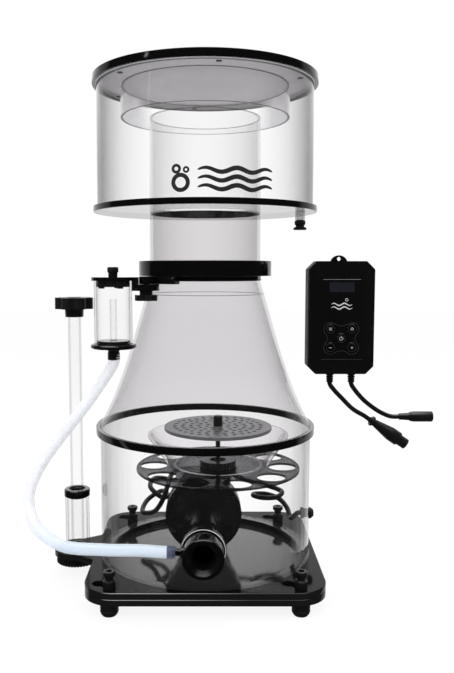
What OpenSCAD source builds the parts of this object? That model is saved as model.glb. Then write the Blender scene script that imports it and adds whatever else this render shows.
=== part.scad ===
// Cone protein skimmer: an acrylic body on a two-plate base with a DC needle-wheel pump inside it,
// a lift-off collection cup with a lid, an air silencer, a wedge outlet valve and a wall-hung
// controller. Millimetres. The origin is on the body's axis at floor level, +Z is up, and the pump's
// intake faces -Y. Screw threads are drawn as plain cylinders.

/* [Body] */
// Outside diameter of the body and cup tubes
tube_od = 260; // [258:1:262]
// Wall of the body and cup tubes
tube_wall = 5; // [4:0.5:6]
// Outside diameter of the black rings at the waist, cup floor and lid
ring_od = 270; // [268:1:274]
// Outside diameter of the neck between the cone and the cup
neck_od = 135; // [134:1:136]
// Wall of the cone and the neck
neck_wall = 4; // [3:0.5:5]

/* [Heights] */
// Height of the rubber feet
foot_h = 15; // [15:1:18]
// Thickness of each base plate
plate_t = 7.5; // [7.5:0.5:8]
// Underside of the waist ring
waist_z = 181; // [180:1:182]
// Height of the waist ring
waist_h = 9; // [8:0.5:10]
// Underside of the lock ring
lock_z = 373; // [372:1:374]
// Height of the lock ring
lock_h = 18; // [17:1:20]
// Underside of the cup floor
cup_z = 449; // [445:1:455]
// Thickness of the cup floor
cup_floor_t = 7; // [6:0.5:8]
// Underside of the lid
lid_z = 598; // [590:1:605]
// Height of the lid rim
lid_h = 9; // [8:0.5:10]

/* [Base] */
// Side of the square base
base_w = 273; // [273:1:280]
// Corner radius of the base
base_corner_r = 35; // [30:1:38]
// Distance of the outlet riser from the body's axis
riser_x = 161.5; // [161:0.5:163]

/* [Pump] */
// Height of the pump's axis
pump_z = 76; // [75:1:78]
// Radius of the pump's volute
volute_r = 47.5; // [46:0.5:48]
// Distance from the body's axis to the intake's mouth
mouth_y = 160; // [158:1:164]

/* [Controller] */
// Width of the controller
ctrl_w = 82; // [82:1:92]
// Height of the controller
ctrl_h = 140; // [138:1:144]

/* [Hidden] */
$fn = 96;

tube_r = tube_od / 2;
bore_r = tube_r - tube_wall;
ring_r = ring_od / 2;
neck_r = neck_od / 2;
neck_in_r = neck_r - neck_wall;

lower_z = foot_h;
upper_z = foot_h + plate_t;
base_z = foot_h + 2 * plate_t;
floor_opening_r = 118;          // opening in the upper plate that the pump passes through
seal_r = 124;                   // centreline of the seal between the plates
seal_wire_r = 1.3;

// Base screws: places, shank and the keyholes that let the body slide off them.
front_screw = [106, -124];
rear_screw = [102, 100];
shank_r = 3;
screw_head_r = 7;
keyhole_shift = [-13, 13];

// Cone: a bell curve between the waist and the neck.
cone_z = waist_z + waist_h;
cone_top_z = lock_z - 6;
cone_steps = 14;
cone_bow = 0.52;                // how far the bell hollows in near its foot
cone_relax = 0.4;               // how much straighter it runs near the neck

// Neck joint, from the bottom up: collar, seal, cup flange, lip of the lock ring.
collar_r = 75;
collar_top_z = lock_z + 8;
neck_seal_r = 71;
neck_seal_wire_r = 0.95;
flange_z = collar_top_z + 2;
flange_t = 4;
lock_r = 81;
run = 0.1;                      // clearance of parts that turn or slide on each other

// Cup and lid.
cup_top_z = cup_z + cup_floor_t;
neck_top_z = lid_z - 36;
rim_w = 3;
drain_pos = [111.5, -34];
drain_r = 6;
drain_bore_r = 4.2;
drain_len = 11;
lid_t = 5;
skirt_r = 101.5;
skirt_wall = 3;
skirt_len = 37;

// Outlet riser and its wedge valve.
chamber_r = 15;
chamber_wall = 2.5;
chamber_top_z = 97;
cap_r = 16;
cap_h = 9;
lobe_r = 29;
port_r = 10;
boss_r = 14;
boss_h = 4;
outlet_nut_r = 26.5;
outlet_nut_z = 12.5;
outlet_bore_r = 10.5;
valve_r = 8;
valve_wall = 1.5;
valve_top_z = 332;
valve_foot_z = 29;
knob_r = 23.5;
knob_z = 332.5;
knob_h = 14.5;
hub_r = 11.5;
hub_h = 10;

// Pump, on an axis along Y.
pump_x = -2;
volute_half = 14;
chamber_pump_r = 38;
intake_bore_r = 12.5;
intake_r = 15;
pump_out = [16, 0];             // axis of the pump's outlet and of the diffuser above it
out_r = 16;
out_bore_r = 13;
out_top_z = 132;
motor_r = 36;
motor_len = 72;
well_r = 16.5;
rotor_r = 2.5;
nozzle_r = 22.4;
nozzle_len = 80;
mouth_r = 18;
mouth_depth = 6;
throat_r = 11;
wall_hole_r = 24.5;
barb_pos = [-nozzle_r + pump_x, -146, pump_z + 4];
barb_r = 4.3;

// Diffuser.
holder_r = 102;
holder_t = 3;
holder_hole_r = 17.5;
holder_pitch_r = 80.5;
funnel_top_z = 176.5;
plate_z = 182;
bubble_r = 67;
bubble_t = 4;
rod_r = 2.9;

// Silencer and the bracket that holds it under the lock ring.
sil_pos = [-106, -60];
sil_r = 22;
sil_wall = 2.5;
sil_z = 295;
sil_top_z = 368;
sil_cap_t = 4;
pivot_pos = [-68, -60];
bracket_z = lock_z - 9;
lug_z = bracket_z - 7.5;
bracket_knob_r = 13.4;

hose_r = 6.5;
hose_bore_r = 4.5;
cable_r = 3.2;
lead_r = 2.9;

// Controller, hung beside the skimmer.
ctrl_pos = [168, 0, 251];       // middle of its lower edge, on the joint between panel and case
ctrl_d = 26;
ctrl_wall = 2.5;
panel_t = 3;
ctrl_chamfer = 10;
key_r = 6.6;
key_centre_z = 45;
key_dx = 13.3;
key_dz = 11.6;
lug_r = 10.8;
lug_hole_r = 2.6;
lug_t = 6;
lead_x = [-11, 16];
gland_len = 12;
lead_y = 12;
socket_pos = [245.5, lead_y, 195.2];
socket_len = 42;
socket_bore_r = 2.8;
socket_bore_len = 10;
plug_pos = [208.5, lead_y, 191.3];
plug_tilt = 34.5;

// ---- helpers ----

module ring(r_out, r_in, h) {
    difference() {
        cylinder(r = r_out, h = h);
        translate([0, 0, -1]) cylinder(r = r_in, h = h + 2);
    }
}

// A disc with round notches round its edge, for knobs and knurled nuts.
module notched(r, notches, notch_r, bite, h) {
    linear_extrude(height = h) difference() {
        circle(r = r);
        for (i = [0 : notches - 1]) rotate(360 * i / notches)
            translate([r + notch_r - bite, 0]) circle(r = notch_r);
    }
}

// Turns a shape drawn along +Z so that it points along -Y, on the pump's axis.
module on_pump_axis(y) {
    translate([pump_x, y, pump_z]) rotate([90, 0, 0]) children();
}

function unit(v) = v / norm(v);
function catmull(a, b, c, d, t) =
    0.5 * (2 * b + (c - a) * t + (2 * a - 5 * b + 4 * c - d) * t * t + (3 * b - a - 3 * c + d) * t * t * t);
function last(list) = list[len(list) - 1];
function spline(pts, steps) = concat(
    [for (i = [0 : len(pts) - 2], j = [0 : steps - 1])
        catmull(pts[max(i - 1, 0)], pts[i], pts[i + 1], pts[min(i + 2, len(pts) - 1)], j / steps)],
    [last(pts)]);
function tangent(path, i) = unit(path[min(i + 1, len(path) - 1)] - path[max(i - 1, 0)]);
function section(p, t, ref, r, sides) =
    let (side = unit(cross(t, ref)), up = cross(side, t))
    [for (k = [0 : sides - 1]) p + r * (cos(360 * k / sides) * side + sin(360 * k / sides) * up)];
function skin(rings, sides, first, flip) = [
    for (i = [0 : rings - 2], k = [0 : sides - 1])
        let (a = first + i * sides + k, b = first + i * sides + (k + 1) % sides, c = a + sides, d = b + sides)
        each flip ? [[a, c, b], [b, c, d]] : [[a, b, c], [b, d, c]]];

// A round bar along a path. ref is a direction that the path never runs along.
module bar(path, r, ref, sides) {
    n = len(path);
    points = [for (i = [0 : n - 1]) each section(path[i], tangent(path, i), ref, r, sides)];
    caps = [for (k = [1 : sides - 2]) each [[0, k + 1, k], [(n - 1) * sides, (n - 1) * sides + k, (n - 1) * sides + k + 1]]];
    polyhedron(points = points, faces = concat(skin(n, sides, 0, false), caps));
}

// The same with a bore.
module hose(path, r, bore, ref, sides) {
    n = len(path);
    inner = n * sides;
    end = (n - 1) * sides;
    points = concat(
        [for (i = [0 : n - 1]) each section(path[i], tangent(path, i), ref, r, sides)],
        [for (i = [0 : n - 1]) each section(path[i], tangent(path, i), ref, bore, sides)]);
    mouths = [for (k = [0 : sides - 1])
        let (j = (k + 1) % sides)
        each [[k, inner + k, j], [j, inner + k, inner + j],
              [end + k, end + j, inner + end + k], [end + j, inner + end + j, inner + end + k]]];
    polyhedron(points = points, faces = concat(skin(n, sides, 0, false), skin(n, sides, inner, true), mouths));
}

// ---- base ----

module base_outline() {
    inset = base_w - 2 * base_corner_r;
    corner = inset / 2;
    square([base_w, inset], center = true);
    square([inset, base_w], center = true);
    for (x = [-corner, corner], y = [-corner, corner]) translate([x, y]) circle(r = base_corner_r);
}

function screw_places() = [
    [-front_screw[0], front_screw[1]], front_screw, [-rear_screw[0], rear_screw[1]], rear_screw];

module base_lower_plate() {
    groove = seal_wire_r + 0.2;
    color([0.05, 0.05, 0.06]) difference() {
        translate([0, 0, lower_z]) linear_extrude(height = plate_t) base_outline();
        for (p = screw_places()) translate([p[0], p[1], 0]) cylinder(r = shank_r + run, h = 60);
        translate([-riser_x, 0, 0]) cylinder(r = outlet_nut_r + 1, h = 60);
        translate([0, 0, upper_z - 2 * seal_wire_r - 0.1]) ring(seal_r + groove, seal_r - groove, 10);
    }
}

module keyhole(p) {
    slot_half = shank_r + 0.2;
    entry = p + keyhole_shift;
    translate([entry[0], entry[1], 1]) cylinder(r = screw_head_r + 0.6, h = 60);
    translate([p[0], p[1], 1]) cylinder(r = shank_r + 0.6, h = 60);
    translate([p[0], p[1], 1]) rotate([0, 0, atan2(keyhole_shift[1], keyhole_shift[0])])
        translate([0, -slot_half, 0]) cube([norm(keyhole_shift), 2 * slot_half, 60]);
}

module base_upper_plate() {
    edge = base_w / 2 - 2;
    duct_h = 4.5;
    color([0.05, 0.05, 0.06]) difference() {
        union() {
            translate([0, 0, upper_z]) linear_extrude(height = plate_t) {
                base_outline();
                translate([-riser_x, 0]) circle(r = lobe_r);
                polygon([[-riser_x, lobe_r - 2], [-edge, 44], [-edge, -44], [-riser_x, 2 - lobe_r]]);
            }
            translate([-riser_x, 0, upper_z - boss_h]) cylinder(r = boss_r, h = boss_h + 1);
        }
        translate([0, 0, 1]) cylinder(r = floor_opening_r, h = 60);
        translate([-riser_x, 0, 1]) cylinder(r = port_r, h = 60);
        translate([-riser_x, -9, upper_z + 1.5]) cube([riser_x - floor_opening_r + 6, 18, duct_h]);
        for (p = screw_places()) keyhole(p);
    }
}

module rubber_feet() {
    color([0.03, 0.03, 0.03]) for (p = screw_places()) translate([p[0], p[1], 0]) difference() {
        rotate_extrude() polygon([[0, 0], [8, 0], [9.6, 1.4], [10.3, 4], [10.3, foot_h - 1], [9.6, foot_h], [0, foot_h]]);
        translate([0, 0, foot_h - 9]) cylinder(r = shank_r + run, h = 20);
    }
}

module base_seal() {
    color([0.08, 0.08, 0.08]) translate([0, 0, upper_z - seal_wire_r - 0.05])
        rotate_extrude() translate([seal_r, 0]) circle(r = seal_wire_r);
}

// A spool-shaped hand screw with a hexagon socket.
module base_screw(p) {
    head_h = 20;
    color([0.03, 0.03, 0.03]) translate([p[0], p[1], base_z]) difference() {
        union() {
            translate([0, 0, 8 - base_z]) cylinder(r = shank_r, h = base_z);
            notched(screw_head_r, 16, 1, 0.5, 9);
            translate([0, 0, 8]) cylinder(r = 5.3, h = 8);
            translate([0, 0, 15]) rotate_extrude() polygon([[0, 0], [5.3, 0], [6.9, 1.6], [6.9, 4.2], [6.1, 5], [0, 5]]);
        }
        translate([0, 0, head_h - 4]) cylinder(r = 3.1, h = 5, $fn = 6);
    }
}

// ---- body and cone ----

module body_tube() {
    color([0.9, 0.93, 0.95, 0.3]) difference() {
        translate([0, 0, base_z]) ring(tube_r, bore_r, waist_z + waist_h / 2 - base_z);
        on_pump_axis(-50) cylinder(r = wall_hole_r, h = 120);
        translate([100, 0, pump_z - 2]) rotate([0, 90, 0]) cylinder(r = 5.6, h = 60);
    }
}

module waist_ring() {
    color([0.04, 0.04, 0.04]) translate([0, 0, waist_z]) ring(ring_r, tube_r, waist_h);
}

function bell_r(t) = neck_r + (tube_r - neck_r) * (1 - t) * (1 - cone_bow * t + cone_relax * t * t);
function bell_z(t) = cone_z + t * (cone_top_z - cone_z);

module cone() {
    foot_z = waist_z + waist_h / 2;
    color([0.9, 0.93, 0.95, 0.3]) rotate_extrude() polygon(concat(
        [[tube_r, foot_z]],
        [for (i = [0 : cone_steps]) [bell_r(i / cone_steps), bell_z(i / cone_steps)]],
        [[neck_r, collar_top_z], [neck_in_r, collar_top_z]],
        [for (i = [cone_steps : -1 : 0]) [bell_r(i / cone_steps) - neck_wall, bell_z(i / cone_steps)]],
        [[tube_r - neck_wall, foot_z]]));
}

module cone_collar() {
    lip_z = cone_top_z + 0.2;
    color([0.04, 0.04, 0.04]) rotate_extrude() polygon([
        [neck_r, lip_z], [neck_r + 1.5, lip_z], [neck_r + 1.5, lip_z + 2], [neck_r + 0.9, lip_z + 2],
        [neck_r + 0.9, lock_z + 1], [collar_r, lock_z + 1], [collar_r, collar_top_z], [neck_r, collar_top_z]]);
}

module cable_grommet() {
    color([0.03, 0.03, 0.03]) translate([0, 0, pump_z - 2]) rotate([0, 90, 0]) rotate_extrude() polygon([
        [cable_r + 0.05, 121], [7, 121], [7, 124], [5.5, 124.6], [5.5, 130.4], [7.3, 131], [6.8, 133.4],
        [4.2, 136.6], [0, 136.9], [0, 132], [cable_r + 0.05, 132]]);
}

// ---- outlet riser ----

module at_riser() {
    translate([-riser_x, 0, 0]) children();
}

module outlet_chamber() {
    color([0.9, 0.93, 0.95, 0.3]) at_riser() translate([0, 0, base_z])
        ring(chamber_r, chamber_r - chamber_wall, chamber_top_z - base_z);
}

module outlet_cap() {
    color([0.04, 0.04, 0.04]) at_riser() translate([0, 0, chamber_top_z]) difference() {
        union() {
            cylinder(r = cap_r, h = cap_h - 1);
            cylinder(r = cap_r - 1, h = cap_h);
            translate([0, 0, -2]) cylinder(r = chamber_r - chamber_wall, h = 3);
        }
        translate([0, 0, -3]) cylinder(r = valve_r + run / 2, h = 30);
        translate([0, 0, cap_h - 2]) cylinder(r = valve_r + 2, h = 5);
    }
}

module outlet_nut() {
    color([0.03, 0.03, 0.03]) at_riser() translate([0, 0, outlet_nut_z]) difference() {
        notched(outlet_nut_r, 40, 1.3, 1, upper_z - run - outlet_nut_z);
        translate([0, 0, -1]) cylinder(r = outlet_bore_r, h = 20);
        translate([0, 0, upper_z - boss_h - run - outlet_nut_z]) cylinder(r = boss_r + run, h = 20);
    }
}

module valve_tube() {
    color([0.9, 0.93, 0.95, 0.3]) at_riser() translate([0, 0, valve_foot_z])
        ring(valve_r, valve_r - valve_wall, valve_top_z - valve_foot_z);
}

module valve_knob() {
    socket_top = valve_top_z - knob_z + hub_h;
    color([0.03, 0.03, 0.03]) at_riser() translate([0, 0, knob_z - hub_h]) difference() {
        union() {
            cylinder(r = hub_r, h = hub_h);
            translate([0, 0, hub_h]) notched(knob_r, 7, 7, 3.2, knob_h);
        }
        translate([0, 0, -1]) cylinder(r = valve_r, h = socket_top + 1);
    }
}

// The gate: a sleeve whose slanted foot covers or clears the duct as it turns.
module valve_gate() {
    gate_z = upper_z + 0.6;
    color([0.1, 0.1, 0.1]) at_riser() difference() {
        translate([0, 0, gate_z]) cylinder(r = port_r - run / 2, h = valve_foot_z + 5 - gate_z);
        translate([0, 0, 0]) cylinder(r = valve_r - valve_wall, h = 60);
        translate([0, 0, valve_foot_z]) cylinder(r = valve_r, h = 30);
        translate([0, 0, gate_z]) rotate([0, -22, 0]) translate([0, 0, -15]) cube([60, 60, 30], center = true);
    }
}

// ---- pump ----

// Room for the volute's outlet pipe, which is wider than the volute is deep.
module outlet_room() {
    translate([pump_out[0], pump_out[1], pump_z - run]) cylinder(r = out_r + run, h = 60);
}

module pump_volute() {
    color([0.03, 0.03, 0.035]) difference() {
        union() {
            on_pump_axis(volute_half) cylinder(r = volute_r, h = 2 * volute_half);
            translate([pump_out[0], pump_out[1], pump_z]) cylinder(r = out_r, h = out_top_z - pump_z);
            translate([pump_out[0], pump_out[1], out_top_z - 4]) cylinder(r = out_r + 9, h = 4);
        }
        on_pump_axis(volute_half + 1) cylinder(r = chamber_pump_r, h = 2 * volute_half - 4);
        on_pump_axis(0) cylinder(r = intake_bore_r, h = 60);
        translate([pump_out[0], pump_out[1], pump_z]) cylinder(r = out_bore_r, h = 80);
    }
}

module pump_cover() {
    front = volute_half;
    pipe_end = mouth_y - nozzle_len + 18;
    color([0.03, 0.03, 0.035]) difference() {
        translate([pump_x, 0, pump_z]) rotate([90, 0, 0]) rotate_extrude() polygon([
            [intake_bore_r, front], [40, front], [40, front + 3], [37, front + 6], [intake_r + 9, front + 12],
            [intake_r, front + 26], [intake_r, pipe_end], [intake_bore_r, pipe_end]]);
        outlet_room();
    }
}

module motor_housing() {
    back = volute_half + motor_len;
    color([0.03, 0.03, 0.035]) difference() {
        union() {
            on_pump_axis(volute_half + 6) cylinder(r = volute_r - 1, h = 6);
            on_pump_axis(back) cylinder(r = motor_r, h = motor_len);
            for (y = [34 : 8 : 74]) on_pump_axis(y) cylinder(r = motor_r + 2.5, h = 3);
            on_pump_axis(back + 8) cylinder(r = 6, h = 9);
            for (y = [26, 68]) translate([pump_x - 30, y, upper_z]) cube([60, 10, pump_z - upper_z - 20]);
        }
        on_pump_axis(volute_half + 56) cylinder(r = well_r, h = 80);
        on_pump_axis(volute_half + 60) cylinder(r = rotor_r + run / 2, h = 20);
        on_pump_axis(back + 20) cylinder(r = cable_r + 0.05, h = 17);
        outlet_room();
    }
}

module rotor_shaft() {
    color([0.85, 0.85, 0.83]) on_pump_axis(volute_half + 59) cylinder(r = rotor_r, h = volute_half + 65);
}

module rotor_magnet() {
    color([0.3, 0.3, 0.32]) on_pump_axis(volute_half + 53) ring(well_r - 1, rotor_r, 48);
}

// The needle wheel: a disc with rings of pins that chop the air into bubbles.
module impeller() {
    color([0.85, 0.86, 0.88]) {
        difference() {
            union() {
                on_pump_axis(6) cylinder(r = 31, h = 3);
                on_pump_axis(8) cylinder(r = 6, h = 12);
                for (c = [[14, 10], [21, 16], [28, 22]], i = [0 : c[1] - 1])
                    translate([pump_x, 3.5, pump_z]) rotate([90, 0, 0]) rotate([0, 0, 360 * i / c[1]])
                        translate([c[0], 0, 0]) cylinder(r = 1, h = 9);
            }
            on_pump_axis(20) cylinder(r = rotor_r, h = 60);
        }
    }
}

// Venturi nozzle: mouth, funnel, throat and the socket that pushes onto the pump's pipe.
module venturi_nozzle() {
    mouth = mouth_y;
    back = mouth - nozzle_len;
    socket = back + 18;
    color([0.02, 0.02, 0.025]) difference() {
        union() {
            translate([pump_x, 0, pump_z]) rotate([90, 0, 0]) rotate_extrude() polygon([
                [intake_r + 0.05, back], [intake_r + 2.5, back], [nozzle_r, socket + 2], [nozzle_r, mouth - 1],
                [nozzle_r - 1, mouth], [mouth_r, mouth], [mouth_r, mouth - mouth_depth],
                [throat_r, mouth - mouth_depth - 17], [intake_bore_r, socket], [intake_r + 0.05, socket]]);
            translate([barb_pos[0] + 4, barb_pos[1], barb_pos[2]]) rotate([0, -90, 0]) rotate_extrude() polygon([
                [0, 0], [6, 0], [6, 5.5], [3.6, 5.5], [3.6, 8], [barb_r, 8], [3.6, 11], [3.6, 11.5],
                [barb_r, 11.5], [3.4, 15], [0, 15]]);
        }
        translate([pump_x, barb_pos[1], barb_pos[2]]) rotate([0, -90, 0]) cylinder(r = 2, h = 60);
    }
}

module intake_gasket() {
    color([0.25, 0.25, 0.26]) on_pump_axis(-121) ring(wall_hole_r - 0.05, nozzle_r + 0.05, 13);
}

module pump_cable() {
    exit_z = pump_z - 2;
    gland_y = volute_half + motor_len + 4;
    color([0.04, 0.04, 0.045]) bar(concat([[pump_x, gland_y, pump_z]], spline([
        [pump_x, gland_y + 5, pump_z], [-14, 105, 78], [-44, 97, 88], [-68, 76, 97], [-73, 52, 92],
        [-58, 43, 81], [-50, 62, 77], [-60, 86, 76], [-79, 78, 66], [-84, 55, 57], [-68, 40, 62],
        [-57, 30, 78], [-50, 34, 96], [-44, 60, 108], [-30, 90, 106], [0, 104, 104], [32, 97, 98],
        [62, 78, 92], [88, 56, 91], [101, 40, 89], [93, 27, 86], [76, 30, 84], [64, 43, 83], [68, 57, 81],
        [84, 61, 79], [99, 54, 75], [108, 43, 67], [111, 28, 59], [113, 14, 64], [118, 0, exit_z]], 5),
        [[131, 0, exit_z]]),
        cable_r, [0, 0, 1], 14);
}

// ---- diffuser ----

module at_diffuser(z) {
    translate([pump_out[0], pump_out[1], z]) children();
}

module diffuser_holder() {
    holes = 10;
    color([0.25, 0.26, 0.28, 0.6]) at_diffuser(out_top_z) difference() {
        cylinder(r = holder_r, h = holder_t);
        translate([0, 0, -1]) cylinder(r = 21.1, h = 20);
        for (i = [0 : holes - 1]) rotate([0, 0, 360 * i / holes - 3])
            translate([holder_pitch_r, 0, -1]) cylinder(r = holder_hole_r, h = 20);
    }
}

module diffuser_nut() {
    head_z = holder_t;
    color([0.04, 0.04, 0.045]) at_diffuser(out_top_z) difference() {
        union() {
            translate([0, 0, -8]) cylinder(r = out_bore_r - run, h = 9);
            cylinder(r = 21, h = head_z);
            translate([0, 0, head_z]) notched(22.4, 30, 1, 0.6, 8);
        }
        translate([0, 0, -2]) cylinder(r = 10.5, h = 30);
        translate([0, 0, -10]) cylinder(r = rod_r + 0.05, h = 20);
        for (a = [0 : 60 : 300]) rotate([0, 0, a]) translate([7, 0, -10]) cylinder(r = 2.6, h = 20);
    }
}

module diffuser_funnel() {
    z = holder_t;
    top = funnel_top_z - out_top_z;
    color([0.9, 0.93, 0.95, 0.3]) at_diffuser(out_top_z) rotate_extrude() polygon([
        [52, z], [60, z], [87.5, top - 3], [87.5, top], [84.5, top], [57.5, z + 3], [52, z + 3]]);
}

module bubble_plate() {
    rings = [[14, 8], [24, 14], [34, 20], [44, 26], [54, 32]];
    color([0.25, 0.25, 0.27, 0.8]) at_diffuser(plate_z) difference() {
        cylinder(r = bubble_r, h = bubble_t);
        translate([0, 0, -1]) cylinder(r = rod_r + 0.1, h = 20);
        for (c = rings, i = [0 : c[1] - 1]) rotate([0, 0, 360 * i / c[1] + c[0]])
            translate([c[0], 0, -1]) cylinder(r = 2.7, h = 20);
    }
}

module diffuser_post() {
    cap_z = plate_z + bubble_t;
    color([0.04, 0.04, 0.045]) at_diffuser(0) {
        translate([0, 0, out_top_z - 5]) cylinder(r = rod_r, h = cap_z + 1 - out_top_z + 5);
        translate([0, 0, plate_z - 3.5]) cylinder(r = 5, h = 3.5);
        translate([0, 0, cap_z]) cylinder(r = 5.7, h = 13);
    }
}

// ---- silencer ----

module at_silencer(z) {
    translate([sil_pos[0], sil_pos[1], z]) children();
}

module silencer_tube() {
    pipe_r = 4;
    color([0.9, 0.93, 0.95, 0.3]) {
        at_silencer(sil_z) ring(sil_r, sil_r - sil_wall, sil_top_z - sil_z);
        at_silencer(sil_z + 4.1) ring(pipe_r, pipe_r - 1, 48);
    }
}

module silencer_top_cap() {
    arm_x = pivot_pos[0] - 8.2;
    arm_w = 20;
    web_x = sil_pos[0] + sil_r + 0.5;
    color([0.04, 0.04, 0.04]) difference() {
        union() {
            at_silencer(sil_top_z) cylinder(r = 24.7, h = sil_cap_t);
            at_silencer(sil_top_z - 7) ring(sil_r - sil_wall - 0.05, sil_r - sil_wall - 3, 8);
            translate([sil_pos[0], sil_pos[1] - arm_w / 2, sil_top_z]) cube([arm_x - sil_pos[0], arm_w, sil_cap_t]);
            translate([web_x, sil_pos[1] - arm_w / 2, lug_z]) cube([arm_x - web_x, arm_w, sil_top_z + 1 - lug_z]);
            translate([pivot_pos[0], pivot_pos[1], lug_z]) cylinder(r = 15.3, h = bracket_z - lug_z - run);
        }
        translate([pivot_pos[0], pivot_pos[1], lug_z - 1]) cylinder(r = shank_r + run, h = 30);
        at_silencer(sil_top_z - 1) cylinder(r = 3.6, h = 20);
    }
}

module silencer_bottom_cap() {
    color([0.04, 0.04, 0.04]) difference() {
        union() {
            at_silencer(sil_z - 5) rotate_extrude() polygon([
                [0, 0], [24.8, 0], [26.3, 1.6], [26.3, 3.4], [24.8, 5], [0, 5]]);
            at_silencer(sil_z - 1) cylinder(r = sil_r - sil_wall - 0.05, h = 5);
        }
        at_silencer(sil_z - 20) cylinder(r = 3.6, h = 60);
    }
}

// Air inlet on top, and the barb that carries the hose below.
module silencer_fittings() {
    color([0.03, 0.03, 0.03]) {
        at_silencer(sil_top_z) difference() {
            rotate_extrude() polygon([
                [0, -4], [3.5, -4], [3.5, sil_cap_t], [5.3, sil_cap_t], [5.3, 9], [6.4, 10], [6.4, 14.5], [5.6, 15.6],
                [0, 15.6]]);
            translate([0, 0, -5]) cylinder(r = 2.4, h = 30);
        }
        at_silencer(sil_z - 5) difference() {
            rotate_extrude() polygon([
                [0, 6], [3.5, 6], [3.5, 0], [6.6, 0], [6.6, -5], [3.6, -5], [3.6, -6.5], [barb_r, -6.5],
                [3.6, -9.5], [3.6, -10], [barb_r, -10], [3.4, -14], [0, -14]]);
            translate([0, 0, -15]) cylinder(r = 2.4, h = 30);
        }
    }
}

module silencer_bracket() {
    inner = neck_r + 1.6;
    reach = norm(pivot_pos);
    color([0.03, 0.03, 0.03]) translate([0, 0, bracket_z]) linear_extrude(height = lock_z - run - bracket_z)
        difference() {
            union() {
                intersection() {
                    difference() {
                        circle(r = inner + 12);
                        circle(r = inner);
                    }
                    polygon([[0, 0], for (a = [-147, -131, -115]) 2 * inner * [cos(a), sin(a)]]);
                }
                rotate(atan2(pivot_pos[1], pivot_pos[0])) translate([inner + 5, -7]) square([reach - inner - 5, 14]);
                translate(pivot_pos) circle(r = 7.9);
            }
            translate(pivot_pos) circle(r = shank_r + run);
        }
}

module bracket_screw() {
    head_z = lug_z - 11.5;
    color([0.03, 0.03, 0.03]) translate([pivot_pos[0], pivot_pos[1], head_z]) {
        notched(bracket_knob_r, 6, 5, 2, 6.5);
        cylinder(r = 7.5, h = 11.4);
        cylinder(r = shank_r, h = lock_z - 1 - head_z);
    }
}

module air_hose() {
    top_z = sil_z - 10.2;
    end_x = barb_pos[0] - 2;
    color([0.93, 0.94, 0.96, 0.6]) hose(concat([[sil_pos[0], sil_pos[1], top_z]], spline([
        [sil_pos[0], sil_pos[1], top_z - 11], [-116.5, -62, 256], [-138.3, -70, 224.6], [-166.7, -84, 188.3],
        [-187, -100, 158], [-194.5, -118, 130], [-181.9, -137, 104.5], [-152, -146, 87], [-110, -147, 83],
        [-70, -146.5, 82], [end_x - 12, barb_pos[1], barb_pos[2]]], 6), [[end_x, barb_pos[1], barb_pos[2]]]),
        hose_r, hose_bore_r, [0, 1, 0.05], 20);
}

// ---- cup and lid ----

module cup_neck() {
    color([0.9, 0.93, 0.95, 0.3]) {
        translate([0, 0, collar_top_z + 0.5]) ring(neck_r, neck_in_r, neck_top_z - collar_top_z - 0.5);
        translate([0, 0, flange_z]) ring(collar_r, neck_r - 1, flange_t);
    }
}

module neck_o_ring() {
    color([0.05, 0.05, 0.05]) translate([0, 0, collar_top_z + 1])
        rotate_extrude() translate([neck_seal_r, 0]) circle(r = neck_seal_wire_r);
}

module lock_ring() {
    inner = collar_r + 0.15;
    lip_z = flange_z + flange_t + run - lock_z;
    color([0.02, 0.02, 0.02]) translate([0, 0, lock_z]) rotate_extrude() polygon([
        [inner, 0], [lock_r - 0.8, 0], [lock_r, 0.8], [lock_r, lock_h - 0.8], [lock_r - 0.8, lock_h],
        [neck_r + 0.2, lock_h], [neck_r + 0.2, lip_z], [inner, lip_z]]);
}

module cup_floor() {
    color([0.92, 0.93, 0.95, 0.4]) difference() {
        union() {
            translate([0, 0, cup_z]) ring(ring_r - rim_w, neck_r, cup_floor_t);
            translate([drain_pos[0], drain_pos[1], cup_z - drain_len]) cylinder(r = drain_r, h = drain_len + 1);
        }
        translate([drain_pos[0], drain_pos[1], cup_z - 50]) cylinder(r = drain_bore_r, h = 100);
    }
}

module cup_rim() {
    color([0.03, 0.03, 0.03]) translate([0, 0, cup_z]) ring(ring_r, ring_r - rim_w, cup_floor_t);
}

module cup_tube() {
    color([0.9, 0.93, 0.95, 0.3]) translate([0, 0, cup_top_z]) ring(tube_r, bore_r, lid_z - cup_top_z);
}

module drain_plug() {
    color([0.03, 0.03, 0.03]) translate([drain_pos[0], drain_pos[1], cup_z - drain_len]) rotate_extrude() polygon([
        [0, -10.8], [7.7, -10.8], [7.7, -8.6], [6, -8], [4.9, -7], [4.9, -5.6], [6.2, -4.4], [6.2, -1],
        [5.4, -0.1], [drain_bore_r - run / 2, -0.1], [drain_bore_r - run / 2, 6], [0, 6]]);
}

module lid_disc() {
    color([0.55, 0.55, 0.58, 0.55]) translate([0, 0, lid_z]) cylinder(r = ring_r - rim_w - 1, h = lid_t);
}

module lid_rim() {
    color([0.03, 0.03, 0.03]) translate([0, 0, lid_z]) ring(ring_r, ring_r - rim_w - 1, lid_h);
}

module lid_skirt() {
    color([0.9, 0.93, 0.95, 0.3]) translate([0, 0, lid_z - skirt_len]) ring(skirt_r, skirt_r - skirt_wall, skirt_len);
}

// ---- controller ----

module at_controller() {
    translate(ctrl_pos) children();
}

// The case's eight-sided outline, standing on its lower edge.
module ctrl_outline(inset) {
    w = ctrl_w / 2 - inset;
    lo = inset;
    hi = ctrl_h - inset;
    c = ctrl_chamfer - inset * 0.6;
    polygon([[-w + c, lo], [w - c, lo], [w, lo + c], [w, hi - c], [w - c, hi], [-w + c, hi], [-w, hi - c], [-w, lo + c]]);
}

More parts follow.
